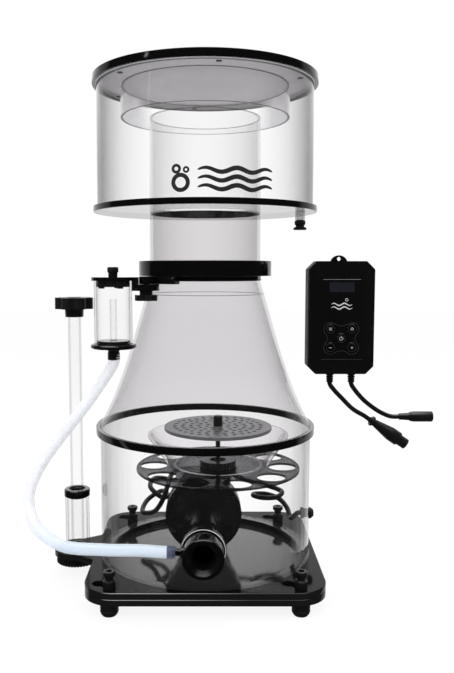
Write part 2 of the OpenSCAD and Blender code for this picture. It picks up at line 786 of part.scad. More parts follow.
// Extrudes an outline drawn in the XZ plane from y_front back to y_back.
module ctrl_slab(y_front, y_back) {
    translate([0, y_back, 0]) rotate([90, 0, 0]) linear_extrude(height = y_back - y_front) children();
}

module controller_back() {
    lug_z = ctrl_h - 3.4;
    color([0.02, 0.02, 0.02]) at_controller() difference() {
        union() {
            ctrl_slab(0, ctrl_d) ctrl_outline(0);
            ctrl_slab(ctrl_d - lug_t, ctrl_d) translate([0, lug_z]) circle(r = lug_r);
            for (x = lead_x) translate([x, lead_y, -gland_len]) {
                cylinder(r = 3.8, h = gland_len + 1);
                for (z = [1 : 3 : gland_len - 1]) translate([0, 0, z]) cylinder(r = 4.6, h = 1.6);
            }
        }
        ctrl_slab(-1, ctrl_d - ctrl_wall) ctrl_outline(ctrl_wall);
        translate([0, ctrl_d + 1, lug_z + 6.3]) rotate([90, 0, 0]) cylinder(r = lug_hole_r, h = 60);
        for (x = lead_x) translate([x, lead_y, -gland_len - 1]) cylinder(r = lead_r + 0.05, h = 40);
    }
}

module controller_front() {
    window = [30.5, 12];
    window_z = 108;
    color([0.01, 0.01, 0.012]) at_controller() difference() {
        ctrl_slab(-panel_t, 0) ctrl_outline(0.6);
        for (k = key_places()) translate([k[0], 1, k[1]]) rotate([90, 0, 0]) cylinder(r = key_r + 0.15, h = 10);
        translate([-window[0] / 2, -panel_t - 1, window_z - window[1] / 2]) cube([window[0], 2, window[1]]);
    }
}

function key_places() = [
    [0, key_centre_z], [-key_dx, key_centre_z + key_dz], [key_dx, key_centre_z + key_dz],
    [-key_dx, key_centre_z - key_dz], [key_dx, key_centre_z - key_dz]];

module key(i) {
    k = key_places()[i];
    color([0.03, 0.03, 0.035]) at_controller() translate([k[0], 0, k[1]]) rotate([90, 0, 0]) {
        translate([0, 0, -1.1]) cylinder(r = 7.4, h = 1);
        translate([0, 0, -0.5]) cylinder(r = key_r, h = panel_t + 0.9);
    }
}

module controller_leads() {
    top_z = ctrl_pos[2] + 2;
    gland_z = ctrl_pos[2] - gland_len - 1;
    x = [for (dx = lead_x) ctrl_pos[0] + dx];
    to_plug = [cos(plug_tilt), 0, -sin(plug_tilt)];
    to_socket = [1, 0, 0];
    color([0.03, 0.03, 0.03]) {
        bar(concat([[x[0], lead_y, top_z]], spline([
            [x[0], lead_y, gland_z], [163, lead_y, 229], [172.5, lead_y, 219], [186.5, lead_y, 205.2],
            plug_pos - 9 * to_plug], 6), [plug_pos - run * to_plug]), lead_r, [0, 1, 0], 14);
        bar(concat([[x[1], lead_y, top_z]], spline([
            [x[1], lead_y, gland_z], [190.5, lead_y, 227.4], [201.5, lead_y, 215.4], [215.5, lead_y, 204.6],
            [227, lead_y, 198.2], socket_pos - 9 * to_socket], 6), [socket_pos - run * to_socket]),
            lead_r, [0, 1, 0], 14);
    }
}

module dc_socket() {
    color([0.03, 0.03, 0.03]) translate(socket_pos) rotate([0, 90, 0]) difference() {
        rotate_extrude() polygon([
            [0, 0], [4, 0], [4.8, 12], [6.1, 15], [6.6, 19], [6.6, socket_len - 1], [6, socket_len], [0, socket_len]]);
        translate([0, 0, socket_len - socket_bore_len]) cylinder(r = socket_bore_r, h = socket_bore_len + 1);
    }
}

module lead_plug() {
    color([0.03, 0.03, 0.03]) translate(plug_pos) rotate([0, 90 + plug_tilt, 0]) difference() {
        union() {
            rotate_extrude() polygon([
                [0, 0], [4, 0], [4, 2], [6.4, 2], [6.4, 5], [4.4, 6], [8.8, 32], [8.8, 44], [6.8, 44], [6.8, 56], [0, 56]]);
            translate([-1.5, 6, 44]) cube([3, 2.2, 10]);
        }
        for (a = [45 : 90 : 315]) rotate([0, 0, a]) translate([3.3, 0, 46]) cylinder(r = 1.1, h = 20);
        translate([-8, -0.8, 50]) cube([16, 1.6, 10]);
    }
}

base_lower_plate();
base_upper_plate();
rubber_feet();
base_seal();
body_tube();
waist_ring();
cone();
cone_collar();
outlet_chamber();
outlet_cap();
outlet_nut();
cable_grommet();
motor_housing();
pump_volute();
pump_cover();
venturi_nozzle();
intake_gasket();
pump_cable();
diffuser_holder();
diffuser_funnel();
bubble_plate();
diffuser_post();
diffuser_nut();
silencer_bracket();
silencer_top_cap();
silencer_tube();
silencer_bottom_cap();
silencer_fittings();
bracket_screw();
air_hose();
base_screw(screw_places()[0]);  // base_screw_front_left
base_screw(screw_places()[1]);  // base_screw_front_right
base_screw(screw_places()[2]);  // base_screw_rear_left
base_screw(screw_places()[3]);  // base_screw_rear_right
valve_tube();
valve_knob();
valve_gate();
impeller();
rotor_magnet();
rotor_shaft();
cup_neck();
cup_floor();
cup_rim();
cup_tube();
neck_o_ring();
lock_ring();
drain_plug();
lid_disc();
lid_rim();
lid_skirt();
controller_back();
controller_front();
controller_leads();
dc_socket();
lead_plug();
key(0);  // key_power
key(1);  // key_upper_left
key(2);  // key_upper_right
key(3);  // key_lower_left
key(4);  // key_lower_right
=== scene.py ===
"""Looks for a cone protein skimmer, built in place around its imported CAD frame.

The clear shells, rings, knobs, hose and cables are rebuilt as smooth meshes at the sizes the frame gives,
and the remaining CAD parts get softened edges. Shapes are in millimetres, which add_mesh turns into metres.
The materials, the lights and the camera are in metres.
"""

import math

import bmesh
import bpy
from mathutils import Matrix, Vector


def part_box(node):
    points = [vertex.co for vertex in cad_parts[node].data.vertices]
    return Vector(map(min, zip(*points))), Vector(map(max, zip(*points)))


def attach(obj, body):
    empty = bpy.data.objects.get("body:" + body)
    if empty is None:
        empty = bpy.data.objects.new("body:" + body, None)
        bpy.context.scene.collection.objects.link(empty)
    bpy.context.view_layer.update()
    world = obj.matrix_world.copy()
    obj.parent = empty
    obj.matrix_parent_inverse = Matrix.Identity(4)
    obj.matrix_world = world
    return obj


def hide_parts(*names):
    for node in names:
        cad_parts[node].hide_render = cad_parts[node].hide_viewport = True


MM = 0.001
TAU = 2 * math.pi
UP = Vector((0, 0, 1))
FRONT = Vector((0, -1, 0))

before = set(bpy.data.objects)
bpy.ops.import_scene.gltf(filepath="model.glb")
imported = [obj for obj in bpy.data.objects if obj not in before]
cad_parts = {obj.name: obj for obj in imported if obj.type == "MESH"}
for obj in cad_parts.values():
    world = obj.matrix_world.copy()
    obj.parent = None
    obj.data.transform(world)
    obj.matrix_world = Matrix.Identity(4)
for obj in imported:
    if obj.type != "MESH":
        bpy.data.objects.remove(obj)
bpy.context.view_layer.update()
scene = bpy.context.scene


# ---- reading the frame ----


def lo(node):
    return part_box(node)[0] / MM


def hi(node):
    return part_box(node)[1] / MM


def mid(node):
    return (lo(node) + hi(node)) / 2


def half_width(node):
    return (hi(node).x - lo(node).x) / 2


def span(node):
    """The heights of a node's underside and top."""
    return lo(node).z, hi(node).z


def axis_of(node):
    """The foot of the upright line through a node's middle."""
    return Vector((mid(node).x, mid(node).y, 0))


# ---- materials ----


class Shader:
    """Builds a node material a node at a time."""

    def __init__(self, name):
        self.material = bpy.data.materials.new(name)
        self.material.use_nodes = True
        self.tree = self.material.node_tree
        self.tree.nodes.clear()
        self.output = self.add("ShaderNodeOutputMaterial")
        coords = self.add("ShaderNodeTexCoord").outputs
        self.coords, self.normal = coords["Object"], coords["Normal"]

    def add(self, kind, inputs=None, **settings):
        node = self.tree.nodes.new(kind)
        for key, value in settings.items():
            setattr(node, key, value)
        for key, value in (inputs or {}).items():
            if isinstance(value, bpy.types.NodeSocket):
                self.tree.links.new(value, node.inputs[key])
            else:
                node.inputs[key].default_value = value
        return node

    def bsdf(self, kind, inputs):
        return self.add(f"ShaderNodeBsdf{kind}", inputs).outputs[0]

    def vector(self, operation, a, b=None):
        """The outputs of a sum on vectors: Vector and Value."""
        values = {0: a} if b is None else {0: a, 1: b}
        return self.add("ShaderNodeVectorMath", values, operation=operation).outputs

    def split(self, value):
        return self.add("ShaderNodeSeparateXYZ", {0: value}).outputs

    def geometry(self, output):
        return self.add("ShaderNodeNewGeometry").outputs[output]

    def stretched(self, stretch):
        return self.add("ShaderNodeMapping", {"Vector": self.coords, "Scale": stretch}).outputs["Vector"]

    def noise(self, scale, detail=3, roughness=0.5, stretch=(1, 1, 1)):
        inputs = {"Vector": self.stretched(stretch), "Scale": scale, "Detail": detail, "Roughness": roughness}
        return self.add("ShaderNodeTexNoise", inputs).outputs["Fac"]

    def remap(self, value, low, high, source=(0.3, 0.7)):
        inputs = {"Value": value, "From Min": source[0], "From Max": source[1], "To Min": low, "To Max": high}
        return self.add("ShaderNodeMapRange", inputs).outputs["Result"]

    def math(self, operation, a, b):
        return self.add("ShaderNodeMath", {0: a, 1: b}, operation=operation).outputs[0]

    def times(self, a, b):
        return self.math("MULTIPLY", a, b)

    def plus(self, a, b):
        return self.math("ADD", a, b)

    def blend(self, factor, a, b):
        a, b = (c if isinstance(c, bpy.types.NodeSocket) else (*c, 1) for c in (a, b))
        return self.add("ShaderNodeMix", {0: factor, 6: a, 7: b}, data_type="RGBA").outputs[2]

    def facing(self, power):
        """0 where a surface faces the viewer, rising to 1 where it turns away."""
        away = self.add("ShaderNodeLayerWeight", {"Blend": 0.5}).outputs["Facing"]
        return self.math("POWER", away, power)

    def skins(self):
        """For an upright shell on the body's axis: 1 on its outer skin and 0 inside, and 1 on level cuts."""
        reach = self.vector("NORMALIZE", self.stretched((1, 1, 0)))["Vector"]
        turned = self.vector("DOT_PRODUCT", reach, self.normal)["Value"]
        outward = self.times(turned, self.remap(self.geometry("Backfacing"), 1, -1, (0, 1)))
        level = self.math("ABSOLUTE", self.split(self.normal)["Z"], 0)
        return self.remap(outward, 0, 1, (-0.1, 0.1)), self.remap(level, 0, 1, (0.35, 0.6))

    def bump(self, height_value, strength, distance):
        inputs = {"Height": height_value, "Strength": strength, "Distance": distance}
        return self.add("ShaderNodeBump", inputs).outputs["Normal"]

    def mix_shaders(self, factor, a, b):
        return self.add("ShaderNodeMixShader", {0: factor, 1: a, 2: b}).outputs[0]

    def principled(self, colour, roughness, more=None):
        return self.bsdf("Principled", {"Base Color": colour, "Roughness": roughness, **(more or {})})

    def finish(self, surface):
        self.tree.links.new(surface, self.output.inputs["Surface"])
        return self.material


def acrylic(
    name, tint, edge, power, haze=0.002, gloss=1.0, inner=1.0, cut=None, bloom=0.0, below=None,
    milk=(0.97, 0.97, 0.98),
):
    """Clear sheet or tube: it takes painted shade where it is seen edge-on, reflects at a slant and carries a
    faint haze.

    inner is how much of that its inner skin does, cut is the painted shading on its level, sawn edges, bloom
    is the painted white at the sides of its far wall, and below is a height with the painted shade it takes
    under it."""
    s = Shader(name)
    outside, level = s.skins()
    share = s.remap(outside, inner, 1, (0, 1))
    streaks = s.remap(s.noise(18, 4, 0.6, stretch=(1, 1, 0.12)), -0.012, 0.012)
    cloud = s.noise(9, 2)
    # painted shade: the tint turns to the edge colour where the surface is seen edge-on
    away = s.times(s.plus(s.facing(power), streaks), share)
    colour = s.blend(away, tint, edge)
    # painted shading: level cut faces take the cut colour
    if cut:
        colour = s.blend(level, colour, cut)
    # painted shade: darker under the given height
    if below:
        height, shade = below
        under = s.remap(s.split(s.coords)["Z"], 1, 0, (height, height + 0.0005))
        shade = s.blend(under, (1, 1, 1), shade)
        colour = s.vector("MULTIPLY", colour, shade)["Vector"]
    through = s.bsdf("Transparent", {"Color": colour})
    polish = s.remap(s.noise(420, 4, 0.7), 0.01, 0.04)
    shine = s.bsdf("Glossy", {"Color": (1, 1, 1, 1), "Roughness": polish})
    inside = s.geometry("Backfacing")
    near = s.times(s.remap(inside, gloss, gloss * 0.35, (0, 1)), share)
    clear = s.mix_shaders(s.times(s.remap(s.facing(4.5), 0.006, 0.9, (0, 1)), near), through, shine)
    milky = s.bsdf("Diffuse", {"Color": (*milk, 1)})
    cover = s.remap(cloud, haze * 0.8, haze * 1.2)
    # painted light: white on the sides of the far wall
    if bloom:
        far_wall = s.times(inside, outside)
        cover = s.plus(cover, s.times(far_wall, s.remap(s.facing(1), 0, bloom, (0.22, 0.42))))
    return s.finish(s.mix_shaders(cover, clear, milky))


def glints(s, surface, heights):
    """Thin painted highlight lines along the base's front face at some heights, brightest at the left."""
    place = s.split(s.coords)
    front = s.times(s.remap(place["Y"], 1, 0, (-0.1355, -0.134)), s.remap(place["X"], 1, 0.14, (-0.04, 0.05)))
    front = s.times(front, s.remap(place["X"], 0, 1, (-0.125, -0.1)))
    # painted highlight: a light grey line where the edge would catch the light
    painted_highlight = s.bsdf("Diffuse", {"Color": (0.3, 0.3, 0.3, 1)})
    for z in heights:
        away = s.math("ABSOLUTE", s.math("SUBTRACT", place["Z"], z), 0)
        line = s.times(front, s.remap(away, 1, 0, (0.2 * MM, 0.45 * MM)))
        surface = s.mix_shaders(line, surface, painted_highlight)
    return surface


def gloss_black(
    name, colour=(0.0018, 0.0018, 0.002), roughness=0.04, level=0.5, dull_beyond=0.0, glint_heights=(),
):
    """Polished black acrylic: fine polishing marks, faint dust and edges that wear a little lighter.

    Its level tops lose some of their shine further than dull_beyond from the body's axis and take a faint
    painted grey reflection nearer in, and glint_heights are the heights of front edges that get a painted
    highlight."""
    s = Shader(name)
    scuffs = s.noise(260, 5, 0.7)
    dust = s.noise(40, 6, 0.75)
    edges = s.remap(s.geometry("Pointiness"), 0, 1, (0.52, 0.62))
    tone = s.plus(s.remap(dust, 0, 0.3, (0.6, 0.85)), s.times(edges, 0.25))
    colour = s.blend(tone, colour, (0.014, 0.014, 0.015))
    more = {"Normal": s.bump(scuffs, 0.03, 0.0002), "IOR": 1.49, "Specular IOR Level": level}
    polished = s.principled(colour, s.remap(scuffs, roughness, roughness + 0.08), more)
    if dull_beyond:
        reach = s.vector("LENGTH", s.stretched((1, 1, 0)))["Value"]
        beyond = s.remap(reach, 0, 1, (dull_beyond, dull_beyond + 0.0005))
        flat = s.remap(s.skins()[1], 0, 1, (0.9, 1))
        dull = s.times(flat, s.remap(beyond, 0.12, 0.72, (0, 1)))
        # painted reflection: inside dull_beyond the level tops mix in a faint grey
        tone = s.blend(beyond, (0.13, 0.13, 0.135), (0.003, 0.003, 0.0032))
        matt_with_painted_grey = s.bsdf("Diffuse", {"Color": tone})
        polished = s.mix_shaders(dull, polished, matt_with_painted_grey)
    return s.finish(glints(s, polished, glint_heights))


def moulded(name, colour, worn, roughness=0.4, grain=1400, depth=0.12, metallic=0.0, level=0.5):
    """Moulded plastic or rubber: a fine surface grain, uneven sheen and lighter, worn edges."""
    s = Shader(name)
    fine = s.noise(grain, 4, 0.65)
    broad = s.noise(32, 5, 0.6)
    edges = s.remap(s.geometry("Pointiness"), 0, 0.5, (0.52, 0.62))
    tone = s.plus(s.remap(broad, 0, 0.4), edges)
    sheen = s.plus(s.remap(broad, -0.05, 0.06), s.remap(fine, roughness - 0.03, roughness + 0.05))
    more = {"Metallic": metallic, "Specular IOR Level": level, "Normal": s.bump(fine, depth, 0.00015)}
    return s.finish(s.principled(s.blend(tone, colour, worn), sheen, more))


def ground_steel(name):
    s = Shader(name)
    lines = s.noise(900, 3, 0.6, stretch=(1, 0.03, 1))
    colour = s.blend(s.remap(lines, 0, 1), (0.62, 0.63, 0.62), (0.82, 0.82, 0.8))
    more = {"Metallic": 1.0, "Normal": s.bump(lines, 0.1, 0.0001)}
    return s.finish(s.principled(colour, s.remap(lines, 0.16, 0.3), more))


HOSE_LOW = (0.086, 0.115)      # between these heights the hose turns bluer
BARB_TIP = (-0.0416, -0.0405)  # and between these places along X it darkens, where the barb fills it


def silicone(name):
    """Translucent hose: milky where it is seen edge-on, clearer through the middle, bluer along the base."""
    s = Shader(name)
    bands = s.noise(60, 4, 0.6)
    fine = s.noise(700, 3)
    place = s.split(s.coords)
    colour = s.blend(s.remap(bands, 0, 1), (0.84, 0.84, 0.85), (0.93, 0.93, 0.935))
    low = s.remap(place["Z"], 1, 0, HOSE_LOW)
    colour = s.blend(low, colour, (0.8, 0.87, 0.95))
    barbed = s.remap(place["X"], 0, 1, BARB_TIP)
    colour = s.blend(barbed, colour, (0.075, 0.095, 0.16))
    more = {"Subsurface Weight": 0.2, "Subsurface Radius": (0.004, 0.004, 0.005), "IOR": 1.41}
    more["Normal"] = s.bump(fine, 0.05, 0.0001)
    milky = s.principled(colour, s.remap(fine, 0.22, 0.34), more)
    through = s.bsdf("Transparent", {"Color": (0.94, 0.95, 0.98, 1)})
    cover = s.remap(s.facing(1.6), 0.42, 0.85, (0, 1))
    return s.finish(s.mix_shaders(cover, through, milky))


def display(name):
    """A dark liquid-crystal window with the faint grid of its cells."""
    s = Shader(name)
    wave_inputs = {"Vector": s.stretched((1, 1, 1)), "Scale": 700, "Distortion": 0}
    cells = s.add("ShaderNodeTexWave", wave_inputs, bands_direction="X").outputs["Fac"]
    colour = s.blend(cells, (0.008, 0.008, 0.013), (0.011, 0.011, 0.017))
    return s.finish(s.principled(colour, s.remap(s.noise(200), 0.15, 0.25)))


def printed(name, light, dark):
    """Screen-printed ink, slightly uneven."""
    s = Shader(name)
    patchy = s.noise(500, 5, 0.7)
    return s.finish(s.principled(s.blend(s.remap(patchy, 0, 1), dark, light), s.remap(patchy, 0.35, 0.5)))


NECK_SHADE = 0.4485  # painted shade: the cup's neck is darker under this height
DECK_SHINE = 0.1305  # how far from the body's axis the base's tops keep their full shine and a painted grey reflection

CLEAR = acrylic("clear_acrylic", (0.99, 0.989, 0.99), (0.5, 0.49, 0.5), 2.2, inner=0.2)
CUP_CLEAR = acrylic(
    "cup_acrylic", (0.998, 0.997, 0.998), (0.08, 0.078, 0.08), 2.3, inner=0.15, cut=(0.5, 0.5, 0.5),
)
NECK_CLEAR = acrylic(
    "neck_acrylic", (0.993, 0.992, 0.993), (0.83, 0.825, 0.83), 0.8, inner=0.5, cut=(0.55, 0.54, 0.55),
    below=(NECK_SHADE, (0.925, 0.92, 0.922)),
)
CONE_CLEAR = acrylic("cone_acrylic", (0.905, 0.9, 0.905), (0.78, 0.77, 0.78), 2.0, inner=0.6)
THIN_CLEAR = acrylic("thin_acrylic", (0.984, 0.984, 0.985), (0.55, 0.54, 0.55), 3.0)
SKIRT_CLEAR = acrylic(
    "skirt_acrylic", (0.993, 0.992, 0.993), (0.8, 0.79, 0.8), 3.0, inner=0.4, cut=(0.16, 0.155, 0.16),
    bloom=0.9,
)
FLOOR_CLEAR = acrylic("floor_acrylic", (0.77, 0.765, 0.77), (0.55, 0.545, 0.55), 3.0, haze=0.02)
SMOKE_LID = acrylic(
    "smoke_lid", (0.82, 0.81, 0.83), (0.73, 0.72, 0.74), 1.6, haze=0.5, gloss=0.3, milk=(0.54, 0.525, 0.535),
)
SMOKE_DARK = acrylic(
    "smoke_acrylic", (0.1, 0.1, 0.105), (0.06, 0.06, 0.06), 1.5, gloss=0.25, cut=(0.33, 0.33, 0.34),
)
FUNNEL_CLEAR = acrylic("funnel_acrylic", (0.975, 0.97, 0.975), (0.4, 0.39, 0.4), 4.0)
BLACK = gloss_black("black_acrylic")
DECK = gloss_black(
    "deck_acrylic", (0.006, 0.006, 0.0062), dull_beyond=DECK_SHINE,
    # painted highlights along the front top edges of the two base plates
    glint_heights=[(hi(node).z - 0.5) * MM for node in ("base_upper_plate", "base_lower_plate")],
)
PLASTIC = moulded("black_plastic", (0.0022, 0.0022, 0.0025), (0.01, 0.01, 0.011), 0.32)
PUMP = moulded("pump_plastic", (0.0016, 0.0016, 0.002), (0.007, 0.007, 0.0075), 0.2, 900, 0.06, level=0.22)
NOZZLE = gloss_black("nozzle_plastic", (0.0016, 0.0016, 0.0018), 0.06)
FUNNEL_BLACK = moulded("mouth_plastic", (0.002, 0.002, 0.0022), (0.006, 0.006, 0.006), 0.26, 1200, 0.05)
RUBBER = moulded("rubber", (0.0025, 0.0025, 0.0026), (0.01, 0.01, 0.01), 0.6, 1800, 0.25)
CABLE = moulded("cable_jacket", (0.0025, 0.0025, 0.0028), (0.01, 0.01, 0.011), 0.38, 1200, 0.1)
CASE = moulded("controller_case", (0.001, 0.001, 0.0012), (0.006, 0.006, 0.0065), 0.5, 1600, 0.3, level=0.12)
PANEL = gloss_black("controller_panel", (0.0006, 0.0006, 0.0008), 0.2, level=0.3)
KEY = gloss_black("controller_key", (0.001, 0.001, 0.0012), 0.22, level=0.4)
PLATE = moulded("bubble_plate_acrylic", (0.105, 0.105, 0.11), (0.145, 0.145, 0.145), 0.3, 1200, 0.06)
IMPELLER = moulded("impeller_plastic", (0.62, 0.63, 0.66), (0.8, 0.8, 0.82), 0.42, 1200, 0.1)
MAGNET = moulded("magnet", (0.05, 0.05, 0.052), (0.14, 0.14, 0.14), 0.5, 1500, 0.2, metallic=0.6)
STEEL = ground_steel("shaft_steel")
HOSE = silicone("silicone_hose")
DISPLAY = display("display_window")
# painted highlight for the cut edge of the tube's intake hole
CUT_EDGE_HIGHLIGHT = printed("cut_edge_highlight", (0.8, 0.8, 0.8), (0.6, 0.6, 0.6))
INK_LIGHT = printed("ink_light", (0.5, 0.5, 0.5), (0.38, 0.38, 0.38))
INK_RULE = printed("ink_rule", (0.2, 0.2, 0.2), (0.14, 0.14, 0.14))
INK_GREY = printed("ink_grey", (0.045, 0.045, 0.047), (0.025, 0.025, 0.027))
INK_BLACK = printed("ink_black", (0.022, 0.02, 0.02), (0.012, 0.011, 0.011))


# ---- mesh helpers ----


def add_mesh(name, bm, body, material):
    """Turns a bmesh in millimetres into a smooth-shaded piece that rides on a CAD body."""
    bmesh.ops.scale(bm, vec=(MM, MM, MM), verts=bm.verts)
    bmesh.ops.recalc_face_normals(bm, faces=bm.faces)
    mesh = bpy.data.meshes.new(name)
    bm.to_mesh(mesh)
    bm.free()
    mesh.polygons.foreach_set("use_smooth", [True] * len(mesh.polygons))
    mesh.set_sharp_from_angle(angle=math.radians(35))
    piece = bpy.data.objects.new(name, mesh)
    scene.collection.objects.link(piece)
    mesh.materials.append(material)
    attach(piece, body)
    return piece


def skin(bm, loops, closed=False, caps=True):
    """Joins each loop of corners to the next with faces, and caps the first and the last unless it closes."""
    for a, b in zip(loops, loops[1:] + loops[:1] if closed else loops[1:]):
        for k in range(len(a)):
            m = (k + 1) % len(a)
            bm.faces.new((a[k], a[m], b[m], b[k]))
    if caps and not closed:
        bm.faces.new(loops[0])
        bm.faces.new(loops[-1])


def bend(a, b, c, t):
    """A point on the curve from a to c that leans towards b."""
    return a * (1 - t) ** 2 + b * 2 * t * (1 - t) + c * t * t


def rounded(outline, radius):
    """An outline with each corner replaced by an arc. radius is one value or one for each corner."""
    steps, count = 4, len(outline)
    radii = radius if isinstance(radius, (list, tuple)) else [radius] * count
    points = []
    for i, corner in enumerate(outline):
        p = Vector(corner)
        back, ahead = Vector(outline[i - 1]) - p, Vector(outline[(i + 1) % count]) - p
        if radii[i] <= 0 or min(back.length, ahead.length) < 1e-4 or back.angle(ahead) > math.radians(172):
            points.append(p)
            continue
        cut = min(radii[i] / math.tan(back.angle(ahead) / 2), 0.48 * back.length, 0.48 * ahead.length)
        start, end = p + back.normalized() * cut, p + ahead.normalized() * cut
        points += [bend(start, p, end, k / steps) for k in range(steps + 1)]
    return points


def lathe(name, outline, material, body="skimmer", at=(0, 0, 0), axis=UP, steps=160, wave=None):
    """Turns a closed outline of (radius, height) points about an axis that starts at a point.

    wave(angle, radius, height) gives a radius to add, for knurls and lobes."""
    turn = UP.rotation_difference(Vector(axis)).to_matrix()
    bm = bmesh.new()
    rings = []
    for s in range(steps):
        a = TAU * s / steps
        loop = []
        for r, h in outline:
            reach = r + (wave(a, r, h) if wave and r > 0 else 0)
            spot = turn @ Vector((reach * math.cos(a), reach * math.sin(a), h))
            loop.append(bm.verts.new(Vector(at) + spot))
        rings.append(loop)
    for s in range(steps):
        here, there = rings[s], rings[(s + 1) % steps]
        for i in range(len(outline)):
            j = (i + 1) % len(outline)
            if outline[i][0] > 1e-3 or outline[j][0] > 1e-3:
                bm.faces.new((here[i], there[i], there[j], here[j]))
    bmesh.ops.remove_doubles(bm, verts=bm.verts, dist=1e-3)
    return add_mesh(name, bm, body, material)


def knurl(count, depth, where, power=1.0):
    """A wave for lathe: count grooves of a depth wherever where(radius, height) says."""
    return lambda a, r, h: -depth * (0.5 - 0.5 * math.cos(count * a)) ** power if where(r, h) else 0


def band(r_out, r_in, low, high):
    """The outline of a ring: four corners."""
    return [(r_in, low), (r_out, low), (r_out, high), (r_in, high)]


def ring(name, r_out, r_in, low, high, material, body="skimmer", at=(0, 0, 0), soft=0.4, **options):
    return lathe(name, rounded(band(r_out, r_in, low, high), soft), material, body, at, **options)


def disc(name, r, low, high, material, body="skimmer", at=(0, 0, 0), soft=0.4, **options):
    outline = rounded([(0, low), (r, low), (r, high), (0, high)], [0, soft, soft, 0])
    return lathe(name, outline, material, body, at, **options)


def arc(x, y, r, start, end, steps=20):
    """Points along an arc between two angles in degrees."""
    turns = [math.radians(start + (end - start) * i / steps) for i in range(steps + 1)]
    return [(x + r * math.cos(a), y + r * math.sin(a)) for a in turns]


def circle_points(r, count, x=0.0, y=0.0, start=0.0):
    return arc(x, y, r, start, start + 360, count)[:-1]


def copies(name, outline, places, material, body="skimmer", **options):
    """The same turned part at several places, as one piece."""
    return join(name, [lathe(name, outline, material, body, at, **options) for at in places])


def shell(name, node, wall, material, body="skimmer", at=(0, 0, 0), soft=0.4, **options):
    """A ring as wide and as tall as a CAD node, in its place."""
    r = half_width(node)
    return replace(ring(name, r, r - wall, *span(node), material, body, at, soft, **options), node)


def catmull(points, per_span=12):
    """A smooth path through the points."""
    pts = [Vector(p) for p in points]
    path = []
    for i in range(len(pts) - 1):
        a, b, c, d = pts[max(i - 1, 0)], pts[i], pts[i + 1], pts[min(i + 2, len(pts) - 1)]
        for k in range(per_span):
            t = k / per_span
            straight, bow = 2 * b + (c - a) * t, (2 * a - 5 * b + 4 * c - d) * t * t
            path.append((straight + bow + (3 * b - a - 3 * c + d) * t ** 3) / 2)
    path.append(pts[-1])
    return path


def sweep(name, path, radius, material, body="skimmer", bore=0.0, sides=28):
    """A round bar, or a hose if it has a bore, along a path."""
    frames = []
    normal = (path[1] - path[0]).orthogonal().normalized()
    for i, p in enumerate(path):
        ahead = (path[min(i + 1, len(path) - 1)] - path[max(i - 1, 0)]).normalized()
        normal = (normal - ahead * normal.dot(ahead)).normalized()
        frames.append((p, normal.copy(), ahead.cross(normal)))
    bm = bmesh.new()

    def wall(r):
        made = [[bm.verts.new(p + x * u + y * v) for x, y in circle_points(r, sides)] for p, u, v in frames]
        skin(bm, made, caps=not bore)
        return made

    outer = wall(radius)
    if bore:
        inner = wall(bore)
        skin(bm, [outer[0], inner[0]], caps=False)
        skin(bm, [outer[-1], inner[-1]], caps=False)
    return add_mesh(name, bm, body, material)


def prism(name, outline, low, high, material, body, at, axis=UP, across=None, soft=0.5, segments=3):
    """A flat outline made solid along an axis, with soft edges. across is where the outline's X points."""
    axis = Vector(axis)
    x = Vector(across) if across else axis.orthogonal().normalized()
    y = axis.cross(x)
    bm = bmesh.new()
    ends = [[bm.verts.new(Vector(at) + x * p[0] + y * p[1] + axis * h) for p in outline] for h in (low, high)]
    skin(bm, ends)
    if soft:
        rims = [
            e for e in bm.edges if all(f.calc_area() for f in e.link_faces) and e.calc_face_angle(0) > 0.9
        ]
        rims = [e for e in rims if any(len(f.verts) == len(outline) for f in e.link_faces)]
        bmesh.ops.bevel(
            bm, geom=rims, offset=soft, segments=segments, profile=0.5, affect="EDGES", clamp_overlap=True,
        )
    return flat_faced(add_mesh(name, bm, body, material))


def both_sides(line, half, closed):
    """The two edges of a line through some points. half is half its width, or a function of how far along."""
    count = len(line)
    sides = ([], [])
    for i, here in enumerate(line):
        before = line[i - 1] if i or closed else here
        after = line[(i + 1) % count] if i < count - 1 or closed else here
        along = (Vector(after) - Vector(before)).normalized()
        side = Vector((-along.y, along.x)) * (half(i / (count - 1)) if callable(half) else half)
        sides[0].append(Vector(here) + side)
        sides[1].append(Vector(here) - side)
    return sides


def ink_line(name, sides, place, proud, body, material, closed=True, caps=True):
    """A printed line between its two edges. place puts a point at a height over the face it is printed on,
    and proud is the heights of its top and its underside."""
    bm = bmesh.new()
    top, under = proud
    rows = [
        [bm.verts.new(place(p, h)) for p, h in ((a, top), (b, top), (b, under), (a, under))]
        for a, b in zip(*sides)
    ]
    skin(bm, rows, closed, caps)
    bmesh.ops.remove_doubles(bm, verts=bm.verts, dist=1e-4)
    return add_mesh(name, bm, body, material)


def flat_faced(piece):
    """Lets a piece's broad faces shade flat between their rounded edges."""
    piece.data.set_sharp_from_angle(angle=math.radians(35))
    piece.modifiers.new("weighted", "WEIGHTED_NORMAL").keep_sharp = True
    return piece


def join(name, pieces):
    """Joins pieces that share a body into one."""
    first = pieces[0]
    with bpy.context.temp_override(
        active_object=first, selected_editable_objects=pieces, selected_objects=pieces,
    ):
        bpy.ops.object.join()
    first.name = name
    first.data.name = name
    return first


def dress(node, material, soft=0.35, segments=2):
    """Keeps a CAD node's shape, rounds its edges and gives it a material."""
    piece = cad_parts[node]
    piece.data.materials.clear()
    piece.data.materials.append(material)
    weld = piece.modifiers.new("weld", "WELD")
    weld.merge_threshold = 0.00001
    if soft:
        bevel = piece.modifiers.new("bevel", "BEVEL")
        bevel.width = soft * MM
        bevel.segments = segments
        bevel.limit_method = "ANGLE"
        bevel.angle_limit = math.radians(40)
        bevel.harden_normals = True
        bevel.use_clamp_overlap = True
    return piece


def replace(piece, *nodes):
    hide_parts(*nodes)
    return piece


# ---- base ----

for node in ("base_lower_plate", "base_upper_plate"):
    dress(node, DECK, 1.1, 4)
dress("base_seal", RUBBER, 0)

BASE_SCREWS = ("front_left", "front_right", "rear_left", "rear_right")


